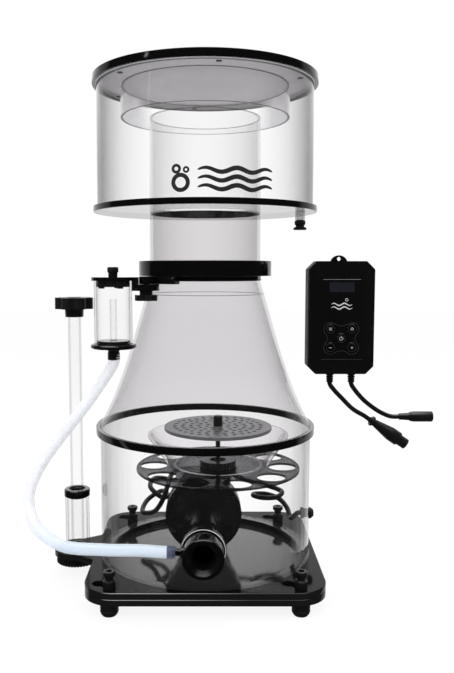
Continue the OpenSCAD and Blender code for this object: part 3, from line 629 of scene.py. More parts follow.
def rubber_feet():
    top = hi("rubber_feet").z
    wide, lip = 10.3, 0.6
    outline = [
        (0, 0.4), (5, 0.4), (5.6, 0), (7.6, 0), (9.2, 2), (wide, 4.6), (wide, 0.42 * top),
        (wide - lip, 0.46 * top), (wide - lip, 0.52 * top), (wide, 0.56 * top), (wide, top - 1),
        (wide - lip, top), (3.2, top), (3.2, 6), (0, 6),
    ]
    places = [axis_of(f"base_screw_{place}") for place in BASE_SCREWS]
    replace(copies("rubber_feet_moulded", rounded(outline, 0.5), places, RUBBER, steps=64), "rubber_feet")


rubber_feet()


def base_screw(place):
    """A spool-shaped hand screw: shank, knurled foot, waist and a socket-headed top."""
    node, body = f"base_screw_{place}", f"screw_{place}"
    deck = hi("base_upper_plate").z
    at = axis_of(node)
    top = hi(node).z - deck
    knurled = 9

    grip = knurl(18, 0.45, lambda r, h: r > 6 and 0.6 < h < knurled - 0.6)
    spool = [
        (0, 0), (6.3, 0), (7, 0.8), (7, knurled - 0.8), (6.4, knurled), (5, knurled + 0.8), (4.6, 12),
        (5.1, 14.2), (6.8, 15.2), (7, 16.2), (7, top - 1), (6.4, top), (3.4, top), (3.4, top - 4),
        (0, top - 4),
    ]
    soft = [0, 0, 0.3, 0.3, 0.4, 1, 2, 1.5] + [0.3] * 5 + [0, 0]
    head = lathe(f"{body}_head", rounded(spool, soft), PLASTIC, body, at + UP * deck, steps=144, wave=grip)
    rod = lo(node).z - deck
    pitch = 1

    def thread(angle, r, h):
        return -0.22 * (0.5 + 0.5 * math.cos(angle - TAU * h / pitch)) if r > 2.5 and h < -1 else 0

    side = [(3, rod + 0.6 + i * 0.25) for i in range(140)]
    shank = [(0, rod), (2.4, rod)] + [p for p in side if p[1] < 0] + [(3, 0.2), (0, 0.2)]
    shank = lathe(f"{body}_shank", shank, PLASTIC, body, at + UP * deck, steps=32, wave=thread)
    return replace(join(f"{body}_moulded", [head, shank]), node)


for place in BASE_SCREWS:
    base_screw(place)

# ---- body tube, waist ring and cone ----

dress("body_tube", CLEAR, 0.3)
waist, waist_top = span("waist_ring")
ring_r = half_width("waist_ring")
tube_r = half_width("body_tube")
replace(ring("waist_ring_polished", ring_r, tube_r + 0.05, waist, waist_top, BLACK, soft=0.7), "waist_ring")
dress("cone_collar", BLACK, 0.2)

CONE_WALL = 4
NECK_R = 67.5
CONE_BOW, CONE_RELAX = 0.52, 0.4    # how the bell hollows in near its foot and straightens near the neck
CONE_SHOULDER = hi("cone").z - 14   # where the bell ends and the plain neck starts


def bell(t):
    return NECK_R + (tube_r - NECK_R) * (1 - t) * (1 - CONE_BOW * t + CONE_RELAX * t * t)


def cone_outline():
    steps = 48
    rise = [(bell(i / steps), waist_top + (CONE_SHOULDER - waist_top) * i / steps) for i in range(steps + 1)]
    outer = [(tube_r, lo("cone").z)] + rise + [(NECK_R, hi("cone").z - 0.3)]
    return outer + [(r - CONE_WALL, h) for r, h in reversed(outer)]


replace(lathe("cone_blown", cone_outline(), CONE_CLEAR, steps=192), "cone")
SEAM_AT = 0.91  # how far up the bell the seam is
seam_r = bell(SEAM_AT) + 0.05
seam_z = waist_top + SEAM_AT * (CONE_SHOULDER - waist_top)
seam = [(seam_r - 0.2, seam_z - 0.5), (seam_r + 0.12, seam_z), (seam_r - 0.4, seam_z + 0.5)]
lathe("cone_seam", seam, NECK_CLEAR)

dress("cable_grommet", RUBBER, 0.2)

# ---- outlet riser ----

riser = axis_of("valve_tube")
shell("outlet_chamber_tube", "outlet_chamber", 2.5, THIN_CLEAR, at=riser, steps=96)
dress("outlet_cap", BLACK, 0.5)
shell("valve_tube_clear", "valve_tube", 1.5, THIN_CLEAR, "valve", riser, 0.2, steps=72)
dress("valve_gate", BLACK, 0.2)


def lobed(count, r, depth, sharp):
    """The outline of a hand knob: rounded lobes with scooped gaps between them."""
    steps = 168
    outline = []
    for i in range(steps):
        a = TAU * i / steps
        reach = r - depth * (0.5 - 0.5 * math.cos(count * a)) ** sharp
        outline.append((reach * math.cos(a), reach * math.sin(a)))
    return outline


def valve_knob():
    low, top = span("valve_knob")
    wheel = top - 14.5
    rim = lobed(7, 23.5, 3.6, 1.8)
    rim = prism("knob_wheel", rim, wheel, top - 0.6, PLASTIC, "valve", riser, soft=1.6, segments=4)
    hub = [(8.1, low), (11, low), (11.5, wheel - 1), (11.5, wheel + 1), (8.1, wheel + 1)]
    hub = lathe("knob_hub", rounded(hub, 0.5), PLASTIC, "valve", riser, steps=96)
    button = disc("knob_button", 9, top - 0.9, top, PLASTIC, "valve", riser, steps=72)
    return replace(join("valve_knob_moulded", [rim, hub, button]), "valve_knob")


valve_knob()


def outlet_nut():
    low, high = span("outlet_nut")
    r = half_width("outlet_nut")
    grip = knurl(40, 2, lambda reach, h: reach > r - 1.1, 0.7)
    outline = [
        (10.5, low), (r - 1, low), (r, low + 0.8), (r, high - 0.3), (r - 0.8, high), (14.2, high),
        (14.2, high - 4), (10.5, high - 4),
    ]
    soft = [0.4, 0, 0, 0, 0.2, 0.2, 0.2, 0.3]
    outline = rounded(outline, soft)
    nut = lathe("outlet_nut_knurled", outline, PLASTIC, "outlet_nut", riser, steps=480, wave=grip)
    return replace(nut, "outlet_nut")


outlet_nut()

# ---- pump ----

dress("motor_housing", PUMP, 0.8, 3)
dress("pump_volute", PUMP, 1.2, 3)
dress("pump_cover", PUMP, 0.6, 3)
dress("venturi_nozzle", NOZZLE, 0.4, 3)
dress("intake_gasket", NOZZLE, 0.8, 3)
dress("impeller", IMPELLER, 0.15)
dress("rotor_magnet", MAGNET, 0.4)
dress("rotor_shaft", STEEL, 0.3)

pump_axis = Vector((mid("rotor_shaft").x, 0, mid("rotor_shaft").z))


def volute_screws():
    """Six pan-head screws round the volute's face."""
    head = rounded([(0, -0.5), (2.4, -0.5), (2.4, 1.4), (1.1, 1.8), (1.1, 0.6), (0, 0.6)], 0.3)
    places = [pump_axis + Vector((x, -14, z)) for x, z in circle_points(43.6, 6, start=30)]
    copies("volute_screws", head, places, PLASTIC, axis=FRONT, steps=32)


volute_screws()

MOUTH = Vector((mid("intake_gasket").x, lo("venturi_nozzle").y, mid("intake_gasket").z))


def nozzle_bands():
    """Two raised bands round the venturi nozzle."""
    r = 22.4
    outline = rounded(band(r + 0.35, r - 1, -1.6, 0), 0.5)
    places = [MOUTH - FRONT * back for back in (2.5, 20)]
    copies("nozzle_bands", outline, places, NOZZLE, axis=FRONT, steps=128)


nozzle_bands()


def mouth_funnel():
    """The smooth funnel just inside the nozzle's mouth."""
    outline = [
        (18.4, -0.6), (18.9, -0.2), (19.4, -0.6), (17.9, -2.6), (14.4, -7), (12, -15), (12, -24), (11.2, -24),
        (11.2, -15), (13.6, -7), (17.1, -2.6),
    ]
    return lathe("mouth_funnel", rounded(outline, 0.4), FUNNEL_BLACK, at=MOUTH, axis=FRONT, steps=128)


mouth_funnel()


def intake_edge():
    """A painted highlight: a light ring on the cut edge of the hole in the tube's wall, seen round the
    intake's gasket.
    """
    at = (MOUTH.x, lo("intake_gasket").y, MOUTH.z)
    r = half_width("intake_gasket")
    outline = rounded(band(r, r - 0.6, -0.1, 0.4), 0.1)
    return lathe("intake_edge", outline, CUT_EDGE_HIGHLIGHT, at=at, axis=FRONT, steps=128)


intake_edge()


def pump_cable():
    start = pump_axis + Vector((0, 84, 0))
    out_z = mid("cable_grommet").z
    corners = [
        (-14, 105, 78), (-44, 97, 88), (-68, 76, 97), (-73, 52, 92), (-58, 43, 81), (-50, 62, 77),
        (-60, 86, 76), (-79, 78, 66), (-84, 55, 57), (-68, 40, 62), (-57, 30, 78), (-50, 34, 96),
        (-44, 60, 108), (-30, 90, 106), (0, 104, 104), (32, 97, 98), (62, 78, 92), (88, 56, 91),
        (101, 40, 89), (93, 27, 86), (76, 30, 84), (64, 43, 83), (68, 57, 81), (84, 61, 79), (99, 54, 75),
        (108, 43, 67), (111, 28, 59), (113, 14, 64),
    ]
    path = [start, start + Vector((0, 11, 0))] + [Vector(c) for c in corners]
    path += [Vector((118, 0, out_z)), Vector((131, 0, out_z))]
    return replace(sweep("pump_cable_coiled", catmull(path, 10), 3.2, CABLE), "pump_cable")


pump_cable()

# ---- diffuser ----

dress("diffuser_holder", SMOKE_DARK, 0.5)
dress("bubble_plate", PLATE, 0.3)
dress("diffuser_nut", PLASTIC, 0.4)
diffuser = axis_of("bubble_plate")
funnel_low, funnel_top = span("diffuser_funnel")
funnel_r = half_width("diffuser_funnel")
funnel_outline = [
    (52, funnel_low), (60, funnel_low), (funnel_r, funnel_top - 3), (funnel_r, funnel_top),
    (funnel_r - 3, funnel_top), (57.5, funnel_low + 3), (52, funnel_low + 3),
]
funnel = lathe("diffuser_funnel_clear", rounded(funnel_outline, 0.8), FUNNEL_CLEAR, at=diffuser, steps=128)
replace(funnel, "diffuser_funnel")


def diffuser_post():
    low, high = span("diffuser_post")
    deck = hi("bubble_plate").z
    under = lo("bubble_plate").z
    outline = [
        (0, low), (2.9, low), (2.9, under - 3.5), (5, under - 3.5), (5, under), (2.9, under), (2.9, deck),
        (5.7, deck), (5.7, high - 2), (4.6, high), (0, high),
    ]
    soft = [0, 0.3, 0, 0.3, 0, 0, 0, 0.2, 0.8, 0.8, 0]
    grip = knurl(20, 0.3, lambda r, h: r > 5.2 and deck + 1 < h < high - 2.4)
    post = lathe("diffuser_post_turned", rounded(outline, soft), PLASTIC, at=diffuser, steps=120, wave=grip)
    return replace(post, "diffuser_post")


diffuser_post()

# ---- silencer ----

silencer = axis_of("silencer_tube")
dress("silencer_bracket", BLACK, 0.5)
dress("silencer_top_cap", BLACK, 0.8, 3)
dress("silencer_bottom_cap", BLACK, 0.4, 3)
dress("silencer_fittings", PLASTIC, 0.35, 3)
canister_low, canister_high = span("silencer_tube")
canister_r = half_width("silencer_tube")
tubes = [
    ring(f"silencer_{name}", r, r - wall, low, high, THIN_CLEAR, at=silencer, soft=0.2, steps=steps)
    for name, r, wall, low, high, steps in (
        ("wall", canister_r, 2.5, canister_low, canister_high, 96),
        ("standpipe", 4, 1, canister_low + 4.1, canister_low + 52, 48),
    )
]
replace(join("silencer_tubes", tubes), "silencer_tube")


def silencer_pegs():
    """Three short posts under the top cap, inside the canister."""
    top = canister_high
    post = rounded([(0, top - 9), (3.6, top - 9), (3.6, top), (0, top)], [0, 0.6, 0, 0])
    places = [silencer + Vector((x, y, 0)) for x, y in circle_points(13.2, 3, start=195)]
    copies("silencer_pegs", post, places, PLASTIC, steps=40)


silencer_pegs()


def bracket_screw():
    at = axis_of("bracket_screw")
    low, high = span("bracket_screw")
    body = "bracket_screw"
    wheel = prism("bracket_wheel", lobed(6, 13.4, 2.6, 1.6), low, low + 6.5, PLASTIC, body, at, soft=1.2)
    neck = [(0, low + 6), (7.5, low + 6), (7.5, low + 11.3), (3, low + 11.3), (3, high), (0, high)]
    grip = knurl(20, 0.35, lambda r, h: r > 6)
    neck = rounded(neck, [0, 0, 0.5, 0, 0.4, 0])
    neck = lathe("bracket_neck", neck, PLASTIC, body, at, steps=120, wave=grip)
    return replace(join("bracket_screw_moulded", [wheel, neck]), "bracket_screw")


bracket_screw()


def air_hose():
    """From the silencer's barb, out and down, and along the front to the nozzle's barb."""
    top = Vector((silencer.x, silencer.y, hi("air_hose").z))
    end = Vector((-32, -146, 80))
    corners = [
        (-116.5, -62, 256), (-138.3, -70, 224.6), (-166.7, -84, 188.3), (-187, -100, 158),
        (-194.5, -118, 130), (-181.9, -137, 104.5), (-152, -146, 87), (-110, -147, 83), (-70, -146.5, 82),
    ]
    path = [top, top - UP * 11] + [Vector(c) for c in corners] + [end - Vector((12, 0, 0)), end]
    hose = sweep("air_hose_silicone", catmull(path, 14), 6.5, HOSE, bore=4.5, sides=40)
    return replace(hose, "air_hose")


air_hose()


def hose_collar():
    """The ribbed collar that grips the hose on the silencer's barb."""
    top, low = lo("silencer_bottom_cap").z, 276.5
    outline = [(4.6, low), (6.9, low)]
    ribs = 3
    for k in range(ribs):
        z = low + 0.6 + k * (hi("air_hose").z - low) / ribs
        outline += [(6.7, z), (7.3, z + 0.5), (7.2, z + 1.5), (6.7, z + 2)]
    outline += [(6.6, hi("air_hose").z + 0.6), (6.2, top), (4.6, top)]
    return lathe("hose_collar", rounded(outline, 0.3), PLASTIC, at=silencer, steps=72)


hose_collar()

# ---- cup ----

CUP_WALL = 5
cup_r = half_width("cup_tube")
cup_low, cup_high = span("cup_tube")
cup_bore = cup_r - CUP_WALL
tube = ring("cup_tube_clear", cup_r, cup_bore, cup_low, cup_high - 0.1, CUP_CLEAR, "cup", soft=0.5, steps=192)
replace(tube, "cup_tube")
shell("cup_rim_polished", "cup_rim", 3, BLACK, "cup", soft=0.8, steps=192)
dress("cup_floor", FLOOR_CLEAR, 0.3)


def cup_neck():
    low, high = span("cup_neck")
    flange_r = half_width("cup_neck")
    inner = NECK_R - CONE_WALL
    outline = [
        (inner, low), (NECK_R, low), (NECK_R, low + 1.5), (flange_r, low + 1.5), (flange_r, low + 5.5),
        (NECK_R, low + 5.5), (NECK_R, high), (inner, high),
    ]
    soft = [0.4, 0.3, 0, 0.5, 0.5, 0.6, 1.2, 1.2]
    return replace(lathe("cup_neck_clear", rounded(outline, soft), NECK_CLEAR, "cup", steps=192), "cup_neck")


cup_neck()
seal_low, seal_high = span("neck_o_ring")
seal_wire = (seal_high - seal_low) / 2
circle = circle_points(seal_wire, 20, half_width("neck_o_ring") - seal_wire, mid("neck_o_ring").z)
replace(lathe("neck_seal", circle, RUBBER, "cup"), "neck_o_ring")


def bore_sheen(name):
    """A painted dark reflection on a disc across the neck's bore at the cup's floor, which shows only from
    just below it.
    """
    s = Shader(name)
    streaks = s.noise(70, 4, 0.6, stretch=(1, 0.05, 1))
    dark = s.blend(s.remap(streaks, 0, 1), (0.004, 0.004, 0.004), (0.09, 0.09, 0.09))
    dark = s.principled(dark, 0.5, {"Specular IOR Level": 0.0})
    clear = s.bsdf("Transparent", {"Color": (1, 1, 1, 1)})
    grazing = s.remap(s.facing(1), 0, 1, (0.885, 0.905))
    way = s.geometry("Incoming")
    under = s.remap(s.split(way)["Z"], 1, 0, (-0.01, 0.0))
    return s.finish(s.mix_shaders(s.times(grazing, under), clear, dark))


SHEEN_DEPTH = 8.8  # how far the disc with the painted reflection lies under the cup's floor
sheen_z = hi("cup_floor").z - SHEEN_DEPTH
sheen = bore_sheen("bore_sheen")
# painted reflection: a dark disc where the bore only mirrors darkness
disc("neck_bore_sheen", NECK_R - 1.5, sheen_z, sheen_z + 0.1, sheen, "cup", soft=0, steps=128)


def lock_ring():
    low, high = span("lock_ring")
    r = half_width("lock_ring")
    outline = [
        (75.15, low), (r - 0.4, low), (r, low + 0.4), (r, high - 0.4), (r - 0.4, high), (NECK_R + 0.2, high),
        (NECK_R + 0.2, high - 3.9), (75.15, high - 3.9),
    ]
    turned = lathe("lock_ring_turned", rounded(outline, 0.5), BLACK, "lock_ring", steps=192)
    return replace(turned, "lock_ring")


lock_ring()


def drain_plug():
    at = axis_of("drain_plug") + UP * lo("drain_plug").z
    outline = [
        (0, 0.8), (3.2, 0), (7.7, 0), (7.7, 2.2), (6.2, 2.9), (4.9, 3.8), (4.9, 5.2), (6.3, 6.4), (6.3, 9.8),
        (5.4, 10.7), (4.1, 10.7), (3.9, 11.6), (0, 11.8),
    ]
    soft = [0] + [0.7] * 10 + [0.8, 0]
    plug = lathe("drain_plug_moulded", rounded(outline, soft), RUBBER, "drain_plug", at, steps=72)
    return replace(plug, "drain_plug")


drain_plug()


def on_cup(point, proud):
    """Where a point printed on the front of the cup's tube goes, at a height over its surface."""
    r = cup_r + proud
    a = point[0] / r
    return Vector((r * math.sin(a), -r * math.cos(a), point[1]))


def water_mark():
    """A plain printed mark on the cup: three broad waves behind a cluster of bubbles."""
    low, left, right = 462.5, -8, 76
    lines = []
    for row in range(3):
        steps = [i / 96 for i in range(97)]
        wave = [(left + (right - left) * t, low + 4 + 9 * row + 2.2 * math.sin(TAU * 2.5 * t)) for t in steps]
        lines.append((wave, lambda t: 0.2 + 2.3 * math.sin(math.pi * t) ** 0.35, False))
    for x, z, r, half in ((-26, 9, 7.8, 2.2), (-30.5, 23.2, 3.6, 1.5), (-20, 22.2, 2.4, 1.1)):
        lines.append((circle_points(r, 48, x, low + z), half, True))
    made = [
        ink_line("mark", both_sides(line, half, closed), on_cup, (0.12, 0.02), "cup", INK_BLACK, closed)
        for line, half, closed in lines
    ]
    return join("cup_water_mark", made)


water_mark()

# ---- lid ----

lid_low = lo("lid_rim").z
shell("lid_rim_polished", "lid_rim", 4, BLACK, "lid", soft=1, steps=192)
sheet_r = half_width("lid_rim") - 4
replace(disc("lid_sheet", sheet_r, lid_low, hi("lid_disc").z, SMOKE_LID, "lid", steps=192), "lid_disc")
skirt_r, skirt_low = half_width("lid_skirt"), lo("lid_skirt").z
skirt = ring(
    "lid_skirt_clear", skirt_r, skirt_r - 3, skirt_low, lid_low, SKIRT_CLEAR, "lid", soft=0.6, steps=192,
)
replace(skirt, "lid_skirt")


def lid_pegs():
    """Six small black pegs under the lid that keep it centred on the cup."""
    peg = rounded([(0, -0.9), (3, -0.9), (3.3, 0.2), (0, 0.2)], [0, 0.5, 0, 0])
    places = [(x, y, lid_low) for x, y in circle_points(118, 6, start=-83)]
    copies("lid_pegs", peg, places, PLASTIC, "lid", steps=36)


lid_pegs()

# ---- controller ----

face_y = lo("controller_front").y       # the panel's front
joint_y = hi("controller_front").y      # where the panel meets the case
case_lo, case_hi = lo("controller_front"), hi("controller_front")
ctrl_base = Vector((mid("controller_front").x, joint_y, case_lo.z - 0.6))  # lower edge of the case
LEAD_X, LEAD_Y = (-11, 16), 12
KEYS = ("key_power", "key_upper_left", "key_upper_right", "key_lower_left", "key_lower_right")
KEY_HOLE_R = 6.75
RIGHT = Vector((1, 0, 0))


def octagon(half_w, low, high, cut):
    return [
        (-half_w + cut, low), (half_w - cut, low), (half_w, low + cut), (half_w, high - cut),
        (half_w - cut, high), (-half_w + cut, high), (-half_w, high - cut), (-half_w, low + cut),
    ]


def plate(name, outline, y_front, y_back, body, material, soft):
    """An outline about the middle of the controller's lower edge, made solid from front to back."""
    deep = joint_y - y_back, joint_y - y_front
    return prism(name, outline, *deep, material, body, ctrl_base, FRONT, RIGHT, soft, segments=4)


def controller_case():
    half_w = (hi("controller_back").x - lo("controller_back").x) / 2
    tall = case_hi.z + 0.6 - ctrl_base.z
    back = hi("controller_back").y
    outline = rounded(octagon(half_w, 0, tall, 10), 2.5)
    case = plate("case_shell", outline, joint_y + 0.25, back, "controller", CASE, 2.2)
    lug_z = tall - 3.4
    lug_r, hole_r = 10.8, 2.6
    at = Vector((ctrl_base.x, back, ctrl_base.z + lug_z))
    tab = prism("case_lug", circle_points(lug_r, 72), 0, 6, CASE, "controller", at, FRONT, RIGHT, 1)
    eye = rounded(band(hole_r + 1.3, hole_r, -0.25, 6.25), 0.5)
    eyelet = lathe("case_eyelet", eye, CASE, "controller", at + UP * 6.3, axis=FRONT, steps=48)
    cut = disc("hanger_hole", hole_r, -2, 9, CASE, "controller", at + UP * 6.3, soft=0, axis=FRONT, steps=48)
    bore(tab, cut)
    return [case, tab, eyelet]


def bore(piece, cutter):
    """Cuts one mesh out of another and drops the cutter."""
    cut = piece.modifiers.new("bore", "BOOLEAN")
    cut.object = cutter
    cut.solver = "EXACT"
    mesh = bpy.data.meshes.new_from_object(piece.evaluated_get(bpy.context.evaluated_depsgraph_get()))
    piece.modifiers.clear()
    piece.data = mesh
    bpy.data.objects.remove(cutter)
    return flat_faced(piece)


def glands():
    """Ribbed strain reliefs where the two leads leave the case."""
    low = lo("controller_back").z
    top = ctrl_base.z - low
    outline = [(2.95, 0), (3.7, 0)]
    ribs = 4
    for k in range(ribs):
        z = 0.8 + k * (top - 1) / ribs
        r = 4.3 + 0.15 * k
        outline += [(3.6, z), (r, z + 0.3), (r, z + 1.6), (3.6, z + 1.9)]
    outline += [(5.2, top - 0.4), (5.2, top + 0.6), (2.95, top + 0.6)]
    places = [(ctrl_base.x + dx, LEAD_Y, low) for dx in LEAD_X]
    copies("controller_glands", rounded(outline, 0.25), places, RUBBER, "controller", steps=56)


replace(join("controller_case_moulded", controller_case()), "controller_back")
glands()


def key_spot(node, y):
    return Vector((mid(node).x, y, mid(node).z))


def controller_panel():
    half_w = (case_hi.x - case_lo.x) / 2
    outline = rounded(octagon(half_w, 0.6, 0.6 + (case_hi.z - case_lo.z), 9.6), 2.2)
    panel = plate("panel_sheet", outline, face_y, joint_y, "controller", PANEL, 1)
    for node in KEYS:
        at = key_spot(node, (face_y + joint_y) / 2)
        bore(panel, disc("key_hole", KEY_HOLE_R, -4, 4, PANEL, "controller", at, 0, axis=FRONT, steps=72))
    return panel


replace(controller_panel(), "controller_front").name = "controller_panel_glossy"

window_z = ctrl_base.z + 108


def display_window():
    half_w, half_h = 15.3, 6
    corners = [(-half_w, -half_h), (half_w, -half_h), (half_w, half_h), (-half_w, half_h)]
    at = Vector((ctrl_base.x, face_y, window_z))
    prism("display_glass", rounded(corners, 0.8), -0.1, 0.12, DISPLAY, "controller", at, FRONT, RIGHT, 0.05)


display_window()


def on_face(y):
    """Puts points printed on a face that looks forward from y."""
    return lambda point, proud: (point[0], y - proud, point[1])


def key_outline():
    """One printed line that wraps the four outer keys and pinches in between them, as a rounded cross."""
    hub = key_spot("key_power", face_y).xz
    turns = {"key_upper_right": -45, "key_upper_left": 45, "key_lower_left": 135, "key_lower_right": 225}
    arcs = [arc(*key_spot(node, 0).xz, 8.2, turn, turn + 180, 28) for node, turn in turns.items()]
    points = []
    for here, following in zip(arcs, arcs[1:] + arcs[:1]):
        start, end = Vector(here[-1]), Vector(following[0])
        pinch = ((start + end) / 2).lerp(hub, 0.22)
        points += here + [tuple(bend(start, pinch, end, k / 10)) for k in range(1, 10)]
    sides = both_sides(points, 0.175, True)
    return ink_line("key_frame_line", sides, on_face(face_y), (0.08, -0.05), "controller", INK_GREY)


key_outline()


def icon_bar(name, x, z, wide, tall, y, body, material=INK_LIGHT):
    corners = [(-wide / 2, -tall / 2), (wide / 2, -tall / 2), (wide / 2, tall / 2), (-wide / 2, tall / 2)]
    return prism(name, corners, -0.05, 0.06, material, body, Vector((x, y, z)), FRONT, RIGHT, 0)


def icon_ring(name, x, z, r, y, body, material=INK_LIGHT, thick=0.45, start=0, end=360):
    """A ring, or an arc of one, drawn as a flat printed line."""
    steps = max(8, int((end - start) / 8))
    sides = [arc(x, z, r + half, start, end, steps) for half in (thick / 2, -thick / 2)]
    return ink_line(name, sides, on_face(y), (0.06, -0.04), body, material, False, end - start < 360)


KEY_BARS = {  # each bar of a key's symbol: how far above the key's middle, its width and its height
    "key_power": ((1.5, 0.5, 2.6),),
    "key_upper_left": ((-1.2, 3.6, 0.4), (0, 3.6, 0.4), (1.2, 3.6, 0.4)),
    "key_upper_right": ((0.55, 0.35, 1.1),),
    "key_lower_left": ((0, 3.2, 0.5),),
    "key_lower_right": ((0, 3.2, 0.5), (0, 0.5, 3.2)),
}


def controller_key(node):
    """A round membrane key with a printed rim and a plain symbol."""
    body = node
    spot = key_spot(node, 0)
    front, back = lo(node).y, hi(node).y
    flange, deep = half_width(node), back - front
    r = flange - 0.8
    outline = [(0, 0), (flange, 0), (flange, 1), (r, 1), (r, deep - 0.5), (r - 0.6, deep), (0, deep)]
    outline = rounded(outline, [0, 0.2, 0.2, 0, 0.4, 0.4, 0])
    replace(lathe(f"{node}_cap", outline, KEY, body, (spot.x, back, spot.z), axis=FRONT, steps=72), node)
    y, x, z = front, spot.x, spot.z
    marks = [icon_ring(f"{node}_rim", x, z, r - 1.5, y, body, INK_GREY, 0.3)]
    if node == "key_power":
        marks.append(icon_ring("power_arc", x, z - 0.2, 2.1, y, body, start=125, end=415))
    elif node == "key_upper_right":
        marks.append(icon_ring("clock_rim", x, z, 1.6, y, body, thick=0.4))
    for i, (up, wide, tall) in enumerate(KEY_BARS[node]):
        marks.append(icon_bar(f"bar_{i}", x, z + up, wide, tall, y, body))
    join(f"{node}_print", marks)


for node in KEYS:
    controller_key(node)


def panel_marks():
    """A small wave, and plain rules where a maker would print words."""
    made = [
        icon_bar("rule_top", ctrl_base.x, window_z + 9.6, 46, 0.5, face_y, "controller", INK_RULE),
        icon_bar(
            "rule_bottom", ctrl_base.x + 1, key_spot("key_lower_left", 0).z - 14.5, 50, 0.35, face_y,
            "controller", INK_GREY,
        ),
    ]
    for row in range(2):
        upper, lower = [], []
        for i in range(49):
            t = i / 48
            x = ctrl_base.x + (t - 0.5) * 26
            z = window_z - 21 - row * 4.4 + 1.4 * math.sin(TAU * 2 * t)
            thick = 0.1 + 0.75 * math.sin(math.pi * t) ** 0.5
            upper.append((x, z + thick))
            lower.append((x, z - thick))
        outline = upper + lower[::-1]
        made.append(
            prism("wave", outline, -0.04, 0.06, INK_LIGHT, "controller", (0, face_y, 0), FRONT, RIGHT, 0)
        )
    made.append(
        icon_ring("panel_bubble", ctrl_base.x + 6, window_z - 15.4, 1.6, face_y, "controller", thick=0.6)
    )
    return join("panel_marks", made)


panel_marks()


def controller_leads():
    gland_z = lo("controller_back").z
    top = ctrl_base.z + 1
    plug = Vector((208.5, LEAD_Y, 191.3))
    tilt = math.radians(34.5)
    to_plug = Vector((math.cos(tilt), 0, -math.sin(tilt)))
    socket = Vector((lo("dc_socket").x, LEAD_Y, mid("dc_socket").z))
    runs = (
        (LEAD_X[0], [(163, 229), (172.5, 219), (186.5, 205.2)], plug, to_plug),
        (LEAD_X[1], [(190.5, 227.4), (201.5, 215.4), (215.5, 204.6), (227, 198.2)], socket, RIGHT),
    )
    made = []
    for i, (dx, corners, entry, way) in enumerate(runs):
        x = ctrl_base.x + dx
        path = [Vector((x, LEAD_Y, top)), Vector((x, LEAD_Y, gland_z - 1))]
        path += [Vector((cx, LEAD_Y, cz)) for cx, cz in corners] + [entry - way * 9, entry + way]
        made.append(sweep(f"lead_{i}", catmull(path, 14), 2.9, CABLE, "controller"))
    return replace(join("controller_leads_round", made), "controller_leads")


controller_leads()
dress("dc_socket", CABLE, 0.3)
dress("lead_plug", CABLE, 0.4)


# ---- setting, light and camera ----


def studio_floor():
    """A pale floor that runs out to the horizon, lit like the backdrop."""
    bm = bmesh.new()
    bmesh.ops.create_circle(bm, cap_ends=True, segments=96, radius=6.0)
    for v in bm.verts:
        v.co.z = -0.05 * MM
    mesh = bpy.data.meshes.new("studio_floor")
    bm.to_mesh(mesh)
    bm.free()
    floor = bpy.data.objects.new("studio_floor", mesh)
    scene.collection.objects.link(floor)
    s = Shader("studio_floor")
    base = s.bsdf("Diffuse", {"Color": (0.9, 0.9, 0.9, 1)})
    lift = s.add("ShaderNodeEmission", {"Color": (1, 1, 1, 1), "Strength": 1.0}).outputs[0]
    mesh.materials.append(s.finish(s.mix_shaders(0.88, base, lift)))
    floor.visible_glossy = False


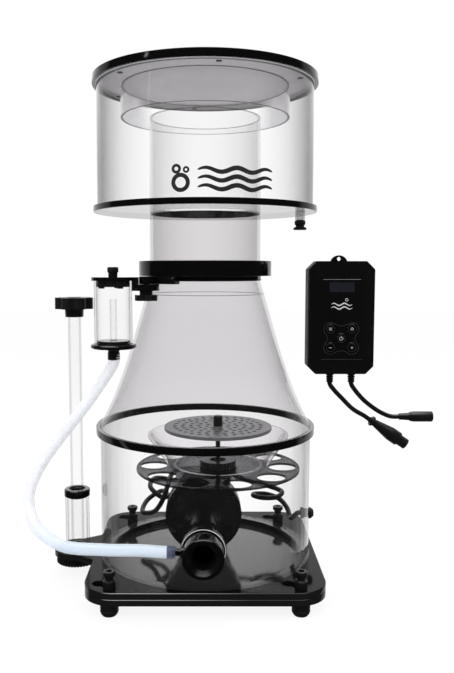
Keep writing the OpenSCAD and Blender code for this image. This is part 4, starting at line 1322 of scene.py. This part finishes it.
def studio_world():
    """White to the eye. Reflections see it dark in front, and white behind, overhead and in a thin strip."""
    world = bpy.data.worlds.new("studio")
    scene.world = world
    world.use_nodes = True
    s = Shader.__new__(Shader)
    s.tree = world.node_tree
    s.tree.nodes.clear()
    output = s.add("ShaderNodeOutputWorld")
    way = s.add("ShaderNodeTexCoord").outputs["Generated"]
    level = s.split(way)
    behind = s.add(
        "ShaderNodeMapRange",
        {"Value": level["Y"], "From Min": 0.28, "From Max": 0.42, "To Min": 0.02, "To Max": 0.34},
        interpolation_type="SMOOTHSTEP",
    ).outputs["Result"]
    far = s.remap(level["Y"], 0, 0.6, (0.45, 0.98))
    upper = s.times(s.remap(level["Z"], 0, 0.7, (0.12, 0.32)), s.remap(level["Y"], 0, 1, (0.6, 0.9)))
    overhead = s.plus(upper, s.remap(level["Z"], 0, 4, (0.75, 0.92)))
    heading = s.vector("MULTIPLY", way, (1, 1, 0))["Vector"]
    heading = s.vector("NORMALIZE", heading)["Vector"]
    towards = s.vector("DOT_PRODUCT", heading, (-0.8545, -0.5195, 0))["Value"]
    strip = s.times(s.remap(towards, 0, 5, (0.9996, 0.99985)), s.remap(level["Z"], 0, 1, (0.2, 0.24)))
    strip = s.times(strip, s.remap(level["Z"], 1, 0, (0.34, 0.4)))
    glow = s.plus(s.plus(behind, far), s.plus(overhead, strip))
    mirrored = s.add("ShaderNodeBackground", {"Color": (1, 1, 1, 1), "Strength": glow}).outputs[0]
    seen = s.add("ShaderNodeBackground", {"Color": (1, 1, 1, 1), "Strength": 1.0}).outputs[0]
    glossy = s.add("ShaderNodeLightPath").outputs["Is Glossy Ray"]
    s.tree.links.new(s.mix_shaders(glossy, seen, mirrored), output.inputs["Surface"])


def soft_box(name, at, aim, wide, tall, power):
    light = bpy.data.lights.new(name, "AREA")
    light.shape = "RECTANGLE"
    light.size, light.size_y, light.energy = wide, tall, power
    box = bpy.data.objects.new(name, light)
    scene.collection.objects.link(box)
    box.location = at
    box.rotation_euler = (Vector(aim) - Vector(at)).to_track_quat("-Z", "Y").to_euler()
    box.visible_camera = False
    box.visible_glossy = False


CAMERA_BACK, CAMERA_HEIGHT = 0.9122, 0.3814   # from the body's axis, and above the floor
CAMERA_PITCH = 5.22                           # degrees below level
CAMERA_LENS, CAMERA_SHIFT = 39.56, 0.03244    # millimetres, and a share of the picture's long side

studio_floor()
studio_world()
middle = (0, 0, 0.32)
soft_box("key_left", (-1.1, -1.0, 1.0), middle, 0.5, 1.2, 11)
soft_box("key_right", (1.2, -0.8, 0.8), middle, 0.4, 1.2, 8)
soft_box("top", (0.1, 0.1, 1.7), middle, 1.2, 1.2, 10)
soft_box("rim", (0.5, 1.3, 0.9), middle, 0.9, 0.9, 6)

lens = bpy.data.cameras.new("camera")
lens.lens, lens.sensor_width, lens.shift_x = CAMERA_LENS, 36, CAMERA_SHIFT
lens.clip_start = 0.01
camera = bpy.data.objects.new("camera", lens)
scene.collection.objects.link(camera)
camera.location = (0, -CAMERA_BACK, CAMERA_HEIGHT)
camera.rotation_euler = (math.radians(90 - CAMERA_PITCH), 0, 0)
scene.camera = camera

scene.view_settings.view_transform = "Standard"
scene.cycles.max_bounces = 16
scene.cycles.transparent_max_bounces = 64
scene.cycles.glossy_bounces = 6
